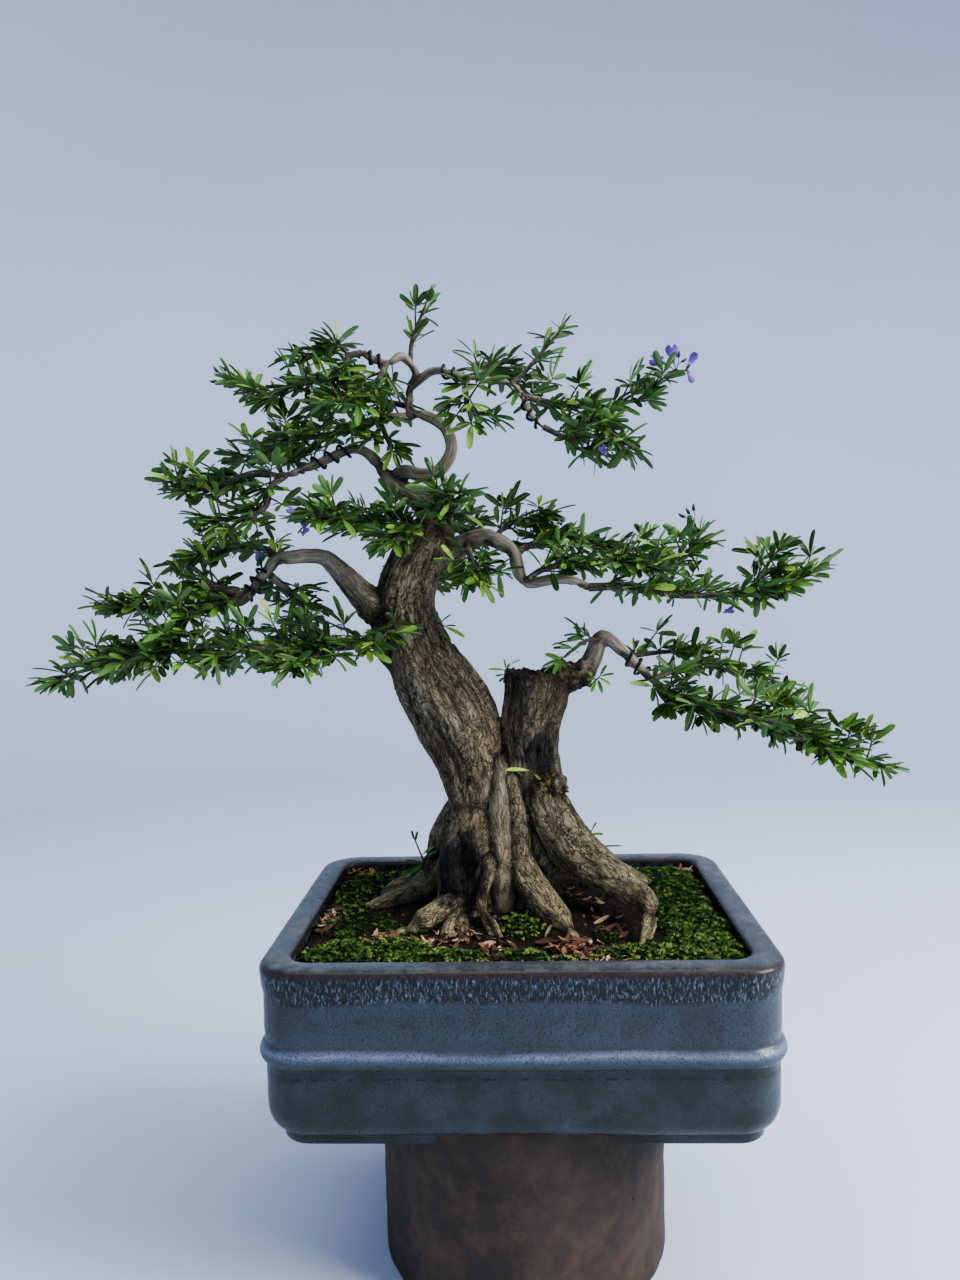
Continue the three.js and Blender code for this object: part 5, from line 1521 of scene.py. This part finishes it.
def leaf_form():
    """One leaf lying along x: (along, across, lift) rows of four points, and its faces."""
    rows = []
    for along, width in zip(LEAF_ROWS, LEAF_WIDTHS):
        section = ((-1, 0.34), (0, 0), (1, 0.34), (0, -0.13))
        rows.append([(along, a * width, lift * (0.3 + 0.7 * width)) for a, lift in section])
    points, faces = skin(rows)
    return np.array(points), faces


LEAF_POINTS, LEAF_FACES = leaf_form()
UNDERSIDE = np.tile((0, 0, 0, 1), len(LEAF_ROWS)).astype(float)
TWIG, BLADE = 0, 1


class Gathered:
    """Many small forms made into one piece, each with its finish and the values that colour it."""

    crease = math.radians(55)

    def __init__(self):
        self.points, self.faces, self.finishes = [], [], []
        self.values = {}
        self.count = 0

    def add(self, points, faces, finish, **values):
        self.points.append(points)
        self.faces += [tuple(i + self.count for i in face) for face in faces]
        self.finishes += [finish] * len(faces)
        for name, value in values.items():
            self.values.setdefault(name, []).append(value)
        self.count += len(points)

    def made(self, name, *finishes):
        made = piece(name, np.concatenate(self.points), self.faces, *finishes)
        made.data.polygons.foreach_set("material_index", self.finishes)
        for value_name, parts in self.values.items():
            store(made, value_name, np.concatenate(parts))
        made.data.set_sharp_from_angle(angle=self.crease)
        return made


class Foliage(Gathered):
    """Stems and leaves. A leaf keeps the place along and across it and its tone in one vector."""

    def stem(self, form):
        points, faces = form
        self.add(points, faces, TWIG, blade=np.zeros((len(points), 3)), under=np.zeros(len(points)))

    def leaf(self, root, aim, face, length, half_width, tilt, tone, fold=1.0):
        across = unit(np.cross(face, aim))
        face = np.cross(aim, across)
        along = LEAF_POINTS[:, 0]
        lift = tilt * length * (along - LEAF_CURL * along**2) + fold * half_width * LEAF_POINTS[:, 2]
        lift = lift - LEAF_CAMBER * (1 - tilt) * length * np.maximum(along - 0.35, 0) ** 2
        side = half_width * LEAF_POINTS[:, 1]
        spots = root + np.outer(along * length, aim) + np.outer(side, across)
        spots = spots + np.outer(lift, face)
        blade = np.stack((along, LEAF_POINTS[:, 1], np.full(len(spots), tone)), 1)
        self.add(spots * MM + (0, 0, SOIL_LEVEL), LEAF_FACES, BLADE, blade=blade, under=UNDERSIDE)


def level_across(heading):
    flat = np.array((-heading[1], heading[0], 0))
    return unit(flat) if np.linalg.norm(flat) > 1e-3 else np.array((1.0, 0, 0))


def rolled(vector, axis, angle):
    turned = np.cross(axis, vector)
    return vector * math.cos(angle) + turned * math.sin(angle)


def shoot(foliage, s, seed, is_tip):
    """A short side shoot and its rosette: a level fan of leaves, then more all round it."""
    turn = draw(seed + 0.31) * 2 * math.pi
    is_rising = draw(seed + 0.97) < RISING_SHARE and not is_tip
    heading = s.dir
    if is_rising:
        heading = unit(0.5 * s.dir + 0.5 * math.cos(turn) * s.side + np.array((0, 0, 1)))
    elif not is_tip:
        heading = s.dir * (0.4 + 0.4 * draw(seed + 0.57)) + s.side * math.cos(turn)
        heading = unit(heading + np.array((0, 0, 0.05 + 0.3 * math.sin(turn))))
    spread = 0 if is_tip else SHOOT_SPREAD_MM * draw(seed + 0.73) * abs(math.cos(turn))
    reach = s.radius + 3 + max(spread, RISING_SHOOT_MM * is_rising)
    normal = np.cross(heading, level_across(heading))
    normal = rolled(normal, heading, swing(seed + 0.13, 0.9))
    end = s.at + reach * heading
    sag = s.at + 0.55 * reach * heading + np.array((0, 0, 0.6))
    twig = [(*s.at, 1.0), (*sag, 0.8), (*(end + 0.8 * heading), 0.55)]
    foliage.stem(tube(twig, 5, 5))
    across = np.cross(normal, heading)
    age = draw(seed + 0.91)
    for k, angle in enumerate(FAN):
        angle += swing(seed + 0.11 * k, 0.5)
        aim = heading * math.cos(angle) + across * math.sin(angle)
        length = LEAF_LENGTH_MM * (0.65 + 0.5 * draw(seed + 0.41 * k + 0.05))
        tilt = (draw(seed + 0.17 * k + 0.09) - 0.4) * 0.7
        face = rolled(normal, aim, swing(seed + 0.19 * k, 1.3))
        width = LEAF_HALF_WIDTH_MM * (0.8 + 0.35 * draw(seed + 0.29 * k))
        foliage.leaf(end, aim, face, length, width, tilt, leaf_tone(age, seed + 0.23 * k + 0.61))
    for k in range(2 + int(3 * draw(seed + 0.47))):
        around = k * GOLDEN_ANGLE + 6.3 * draw(seed + 0.87)
        lean = 0.6 + 0.9 * draw(seed + 0.37 * k + 0.19)
        out = across * math.cos(around) + normal * math.sin(around)
        aim = heading * math.cos(lean) + out * math.sin(lean)
        flat = 1.1 if draw(seed + 0.61 * k) < 0.25 else 0.4
        aim = unit(aim * (1, 1, flat))
        face = unit(heading * 0.4 + np.array((0, 0, 0.9)) + 0.2 * normal)
        face = rolled(face, aim, swing(seed + 0.43 * k, 2.2))
        length = LEAF_LENGTH_MM * (0.45 + 0.55 * draw(seed + 0.53 * k + 0.27))
        tilt = swing(seed + 0.67 * k + 0.33, 0.6)
        width = 0.125 * length * (0.8 + 0.4 * age)
        tone = leaf_tone(age, seed + 0.71 * k + 0.83)
        foliage.leaf(end - 1.8 * k * heading, aim, face, length, width, tilt, tone)
    if age > 0.5 or is_tip or is_rising:
        # New leaves at the tip of a shoot are narrow, folded along the midrib and yellower.
        for k in range(1 + int(2 * draw(seed + 0.77)) + is_tip):
            out = across * (draw(seed + 0.21 * k) - 0.5) + normal * (draw(seed + 0.83 * k) - 0.3)
            aim = unit(heading + 0.9 * out)
            length = LEAF_LENGTH_MM * (0.3 + 0.5 * draw(seed + 0.59 * k))
            foliage.leaf(end, aim, normal, length, 0.07 * length, 0.1, 0.9, fold=2.2)


def leaf_tone(age, seed):
    """0 for an old dark leaf, 1 for a new yellow-green one."""
    return 0.28 * age + 0.66 * draw(seed) ** 1.5


leaf = Finish("leaf_blade", Roughness=0.42, Specular_IOR_Level=0.22)
blade = leaf.stored("blade", out="Vector")
under = leaf.stored("under")
along, sideways, tone = (leaf.split(blade, axis) for axis in range(3))
edge = leaf.maths("ABSOLUTE", sideways)
green = leaf.ramp(
    tone, (0.0, "152109"), (0.22, "253f16"), (0.45, "456f29"), (0.7, "6d993a"), (1.0, "b2ca58")
)
mottle = leaf.clouds(420, detail=3)
mottled = leaf.tinged(green, "456438", mottle, 0.35, 0.7, 0.3)
base_pale = leaf.tinged(mottled, "7f9a4c", along, 0.2, 0.02, 0.5)
ribbed = leaf.tinged(base_pale, "8aa860", edge, 0.14, 0.03, 0.5)
margin = leaf.tinged(ribbed, "8fae55", edge, 0.8, 1.0, 0.35)
side_veins = leaf.minus(along, leaf.times(edge, 0.16))
vein_wave = leaf.maths("SINE", leaf.times(side_veins, 75))
below = leaf.span(under, 0.02, 0.5)
leaf.wear(
    Base_Color=leaf.mixed(below, margin, "5a7848"),
    Roughness=leaf.span(below, 0, 1, 0.4, 0.7),
    Normal=leaf.bumps(vein_wave, 0.05 * MM),
)
twig_bark = Finish("twig_bark", Roughness=0.8)
twig_streaks = twig_bark.clouds(700, detail=4, rough=0.6)
twig_patches = twig_bark.clouds(120, detail=3)
twig_colour = twig_bark.ramp(twig_streaks, (0.32, "15110e"), (0.5, "3b332a"), (0.7, "7d7468"))
twig_bark.wear(
    Base_Color=twig_bark.tinged(twig_colour, "2c2a1c", twig_patches, 0.42, 0.62, 0.7),
    Normal=twig_bark.bumps(twig_streaks, 0.3 * MM),
)

for number, (spray_name, stems) in enumerate(STEMS.items()):
    spray = Foliage()
    shoots_at_a_place = SPARSE.get(spray_name, 3)
    for k, line in enumerate(stems):
        spray.stem(tube(line, 4, 8))
        path = stations(line, SHOOT_SPACING_MM)
        for i, s in enumerate(path):
            is_tip = i == len(path) - 1
            is_bare = s.along < BARE_STEM_END_MM and not is_tip
            is_flower_stem = spray_name == "right_upper" and k == 1
            if is_bare or (is_flower_stem and s.along > FLOWER_STALK_START_MM):
                continue
            seed = 100 * (number + 1) + 17 * k + i
            shoot(spray, s, seed, is_tip)
            if not is_tip:
                for extra in range(1, shoots_at_a_place):
                    shoot(spray, s, seed + 0.37 * extra, False)
    seat(spray.made("spray_" + spray_name, twig_bark, leaf), "leaf", "leaves_" + spray_name)

sprig_facing = unit(np.array((0.1, -0.5, 0.8)))
for sprig_name, (stalk, sprig_leaves) in LONE_SPRIGS.items():
    sprig = Foliage()
    sprig.stem(tube(stalk, 3, 7))
    for leaf_root, leaf_tip, half_width, leaf_age in sprig_leaves:
        leaf_root, leaf_tip = np.array(leaf_root, float), np.array(leaf_tip, float)
        aim = unit(leaf_tip - leaf_root)
        leaf_length = np.linalg.norm(leaf_tip - leaf_root)
        sprig.leaf(leaf_root, aim, sprig_facing, leaf_length, half_width, 0.1, leaf_age)
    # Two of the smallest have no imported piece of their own.
    packed = [] if sprig_name in ("stump_rim", "collar_tuft") else ["leaves_" + sprig_name]
    seat(sprig.made("sprig_" + sprig_name, twig_bark, leaf), "leaf", *packed)

# Flowers
# A few violet pea flowers and dark buds on thread-like stalks: a broad notched banner petal,
# two wings and a boat-shaped keel, set in a small toothed cup.

# Each flower: where its cup is, where the banner leans, the banner's half width, and the size
FLOWERS = {
    "flower_left": ((139, 20, 481), (-1, -0.3, 0.4), 6.4, 0.9),
    "flower_top": ((146, 21, 482), (-0.12, -0.2, 1), 6.2, 0.95),
    "flower_right": ((157, 20, 476), (0.5, -0.3, 0.9), 3.6, 0.95),
    "flower_hanging": ((157, 18, 475), (0.35, -0.4, -0.9), 3.8, 0.75),
}
# Small flowers half hidden in the foliage, and three sprigs of buds
SMALL_FLOWERS = [
    (183, -6, 263), (79, -40, 396), (43, -6, 342), (-213, -42, 322), (-181, -34, 354),
    (-175, -34, 337),
]
BUD_SPRIGS = [
    ((158, -26, 328), (154, -26, 340), [(153, -28, 351), (144, -24, 345), (148, -30, 348)]),
    ((-230, -22, 466), (-240, -23, 469), [(-247, -24, 478), (-240, -20, 480), (-249, -26, 468)]),
    ((148, 21, 474), (149, 20, 480), [(150, 18, 488), (155, 22, 484)]),
]
PETAL_ROWS = 9
PETAL_COLUMNS = 9
PETAL_HALF_THICK_MM = 0.12
# A banner petal wider than this is open to the front, with a notch in it and both wings showing
OPEN_BANNER_MM = 5
VIOLET, PALE, CALYX, BUD = range(4)


def petal(length, half_width, waist, notch, cup, curl):
    """A thin closed petal along x, cupped across and curled along, as points and faces."""
    widest = 0.72
    upper, lower = [], []
    for i in range(PETAL_ROWS):
        u = i / (PETAL_ROWS - 1)
        spread = waist + (1 - waist) * math.sin(min(1.0, u / widest) * math.pi / 2) ** 1.3
        if u > widest:
            spread *= math.sqrt(max(0.12, 1 - ((u - widest) / 0.3) ** 2))
        for j in range(PETAL_COLUMNS):
            v = j / (PETAL_COLUMNS - 1) * 2 - 1
            dip = notch * (1 - abs(v) ** 1.4) * u**3
            x = length * (u - dip)
            y = half_width * v * spread
            z = cup * half_width * spread * v * v + curl * length * u * u
            z += 0.05 * half_width * math.sin(9 * v + 3 * u)
            upper.append((x, y, z + PETAL_HALF_THICK_MM))
            lower.append((x, y, z - PETAL_HALF_THICK_MM))
    points = upper + lower
    count = len(upper)
    faces = []
    for i in range(PETAL_ROWS - 1):
        for j in range(PETAL_COLUMNS - 1):
            a = i * PETAL_COLUMNS + j
            b = a + PETAL_COLUMNS
            faces.append((a, b, b + 1, a + 1))
            faces.append((a + count + 1, b + count + 1, b + count, a + count))
    grid = np.arange(count).reshape(PETAL_ROWS, PETAL_COLUMNS)
    rim = [*grid[0], *grid[1:, -1], *grid[-1, -2::-1], *grid[-2:0:-1, 0]]
    for a, b in zip(rim, rim[1:] + rim[:1]):
        faces.append((a, b, b + count, a + count))
    return points, faces


def axes(aim, face):
    """The three unit directions of a form that points along aim with its upper side to face."""
    aim = unit(np.array(aim, float))
    across = unit(np.cross(face, aim))
    return np.stack((aim, across, np.cross(aim, across)))


class Bloom(Gathered):
    """Petals, cups, stalks and buds. A petal keeps how far out each of its points is."""

    crease = CREASE

    def put(self, form, finish, at, turned):
        points = np.array(form[0], float)
        places = (points @ turned + at) * MM + (0, 0, SOIL_LEVEL)
        self.add(places, form[1], finish, depth=points[:, 0])

    def stalk(self, line, finish=CALYX):
        points, faces = tube(line, 2, 7)
        self.add(points, faces, finish, depth=np.zeros(len(points)))

    def flower(self, at, lean, half_width, size):
        view = np.array((0, -1, 0.25))
        banner = axes(lean, view)
        aim, across, face = banner
        is_open = half_width > OPEN_BANNER_MM
        notch = 0.22 if is_open else 0.05
        self.put(petal(15 * size, half_width * size, 0.14, notch, -0.25, -0.12), VIOLET, at, banner)
        for side in (-1, 1) if is_open else ():
            out = aim * 0.85 + across * 0.3 * side + face * 0.42
            wing = petal(9 * size, 2.2 * size, 0.2, 0, 0.35, 0.1)
            self.put(wing, VIOLET, at, axes(out, face - 0.4 * side * across))
        keel = petal(7 * size, 1.7 * size, 0.25, 0, 1.2, 0.18)
        self.put(keel, PALE, at, axes(aim * 0.8 + face * 0.6, face))
        cup = [(*(at - 3 * size * aim), 0.6), (*(at - 1 * size * aim), 1.3 * size)]
        self.stalk([*cup, (*(at + 1.6 * size * aim), 1.75 * size)])
        for turn in angles_round(5):
            out = math.cos(turn) * across + math.sin(turn) * face
            root = at + 1.3 * size * aim + 1.5 * size * out
            self.stalk([(*root, 0.6 * size), (*(root + 2.1 * size * aim + 0.5 * out), 0.12)])

    def bud(self, root, at):
        root, at = np.array(root, float), np.array(at, float)
        aim = unit(at - root)
        bend = (root + at) / 2 + (0.8, 0, 0.4)
        self.stalk([(*root, 0.35), (*bend, 0.3), (*(at - 3 * aim), 0.35)])
        widths = [(-3.4, 0.35), (-2.2, 1.1), (-0.4, 1.5), (1.6, 1.15), (3.4, 0.25)]
        self.stalk([(*(at + s * aim + (0, 0, 0.08 * s * s)), w) for s, w in widths], BUD)


violet = Finish("violet_petal", Roughness=0.5, Specular_IOR_Level=0.3)
depth = violet.stored("depth")
petal_veins = violet.clouds(1, at=violet.stretched(violet.place, 900, 900, 900), detail=4)
deepening = violet.ramp(
    violet.span(depth, 0, 15), (0.0, "c9bdd9"), (0.3, "8468b4"), (0.6, "5f429c"), (0.95, "3d2774")
)
violet.wear(
    Base_Color=violet.tinged(deepening, "7a55b4", petal_veins, 0.45, 0.7, 0.5),
    Normal=violet.bumps(petal_veins, 0.15 * MM),
)
pale_keel = Finish("pale_keel", Roughness=0.5)
keel_flush = pale_keel.clouds(300, detail=3)
pale_keel.wear(Base_Color=pale_keel.ramp(keel_flush, (0.35, "b9a5d8"), (0.7, "e3dbee")))
calyx = Finish("calyx_and_stalk", Roughness=0.7)
calyx_down = calyx.clouds(600, detail=3)
calyx.wear(
    Base_Color=calyx.ramp(calyx_down, (0.35, "39303a"), (0.7, "6a5f58")),
    Normal=calyx.bumps(calyx_down, 0.15 * MM),
)
bud_skin = Finish("dark_bud", Roughness=0.55)
bud_flush = bud_skin.clouds(400, detail=3)
bud_skin.wear(Base_Color=bud_skin.ramp(bud_flush, (0.35, "17121d"), (0.7, "43315c")))
blooming = (violet, pale_keel, calyx, bud_skin)

flower_fork = np.array((148, 22, 474))
for flower_name, (at, lean, half_width, size) in FLOWERS.items():
    bloom = Bloom()
    at = np.array(at, float)
    bloom.flower(at + 2 * unit(np.array(lean, float)), lean, half_width, size)
    halfway = (151, 20, 475) if flower_name == "flower_right" else (flower_fork + at) / 2 + 0.6
    bloom.stalk([(*flower_fork, 0.45), (*halfway, 0.4), (*at, 0.4)])
    seat(bloom.made("petals_" + flower_name, *blooming), "petal", flower_name)
small = Bloom()
for k, at in enumerate(SMALL_FLOWERS):
    lean = (0.6 * math.cos(2.4 * k), -0.7, 0.6 * math.sin(1.7 * k) + 0.3)
    small.flower(np.array(at, float), lean, 5.4, 0.6)
for root, fork, buds in BUD_SPRIGS:
    small.stalk([(*root, 0.5), (*fork, 0.4)])
    for at in buds:
        small.bud(fork, at)
seat(small.made("small_flowers_and_buds", *blooming), "petal")

# Stage
# A plain pale studio: a round floor that curves up into a wall on every side, so that no view shows
# its edge, soft light from the open top, and a wide soft panel high on the right.

STUDIO_RADIUS = 3.2
STUDIO_HEIGHT = 3.4
CURVE_RADIUS = 1.1
STUDIO_SIDES = 96


def studio_shell():
    profile = [(STUDIO_RADIUS, STUDIO_HEIGHT)]
    for i in range(13):
        turn = math.pi / 2 * (1 - i / 12)
        across = STUDIO_RADIUS - CURVE_RADIUS + CURVE_RADIUS * math.sin(turn)
        profile.append((across, CURVE_RADIUS * (1 - math.cos(turn))))
    profile += [(1.7, 0), (1.2, 0), (0.6, 0)]
    points, faces = skin([circle(radius, z, STUDIO_SIDES) for radius, z in profile], closed=False)
    faces.append(tuple(range(len(points) - STUDIO_SIDES, len(points))))
    return points, faces


wall_paint = Finish("pale_wall", Roughness=0.95, Specular_IOR_Level=0.1)
wash = wall_paint.clouds(0.7, detail=2)
wall_paint.wear(Base_Color=wall_paint.ramp(wash, (0.3, "cdd9ee"), (0.75, "d8e1f2")))
studio = piece("studio", *studio_shell(), wall_paint)


def panel(name, at, towards, width, tall, power, colour):
    light = bpy.data.lights.new(name, "AREA")
    light.shape = "RECTANGLE"
    light.size, light.size_y = width, tall
    light.energy = power
    light.color = colour
    made = bpy.data.objects.new(name, light)
    made.location = at
    made.rotation_mode = "QUATERNION"
    made.rotation_quaternion = (Vector(towards) - Vector(at)).to_track_quat("-Z", "Y")
    bpy.context.scene.collection.objects.link(made)


panel("panel_right", (1.9, -0.7, 1.7), (0.0, 0.0, 0.45), 1.3, 1.2, 100, (1.0, 0.98, 0.95))
panel("panel_top", (0.1, 0.0, 2.5), (0.0, 0.0, 0.4), 2.0, 2.0, 34, (0.95, 0.97, 1.0))
world = bpy.data.worlds.new("open_sky")
world.use_nodes = True
sky = world.node_tree.nodes["Background"]
sky.inputs["Color"].default_value = (0.86, 0.91, 1.0, 1.0)
sky.inputs["Strength"].default_value = 0.2
bpy.context.scene.world = world

# Camera
# Level with the tree, a little below its middle, as a phone held at arm's length sees it.

EYE = (0.0032, -0.842, 0.581)
YAW, PITCH, ROLL = math.radians(-2.2), math.radians(3.2), math.radians(-1.3)
LENS_MM = 27.03
forward = Vector(
    (math.sin(YAW) * math.cos(PITCH), math.cos(YAW) * math.cos(PITCH), -math.sin(PITCH))
)
level_right = Vector((math.cos(YAW), -math.sin(YAW), 0))
level_up = level_right.cross(forward)
right = math.cos(ROLL) * level_right + math.sin(ROLL) * level_up
up = -math.sin(ROLL) * level_right + math.cos(ROLL) * level_up
lens = bpy.data.cameras.new("camera")
lens.lens = LENS_MM
lens.sensor_width = 36
camera = bpy.data.objects.new("camera", lens)
camera.matrix_world = Matrix((right, up, -forward)).transposed().to_4x4()
camera.location = EYE
bpy.context.scene.collection.objects.link(camera)
bpy.context.scene.camera = camera
bpy.context.scene.view_settings.look = "AgX - Medium High Contrast"
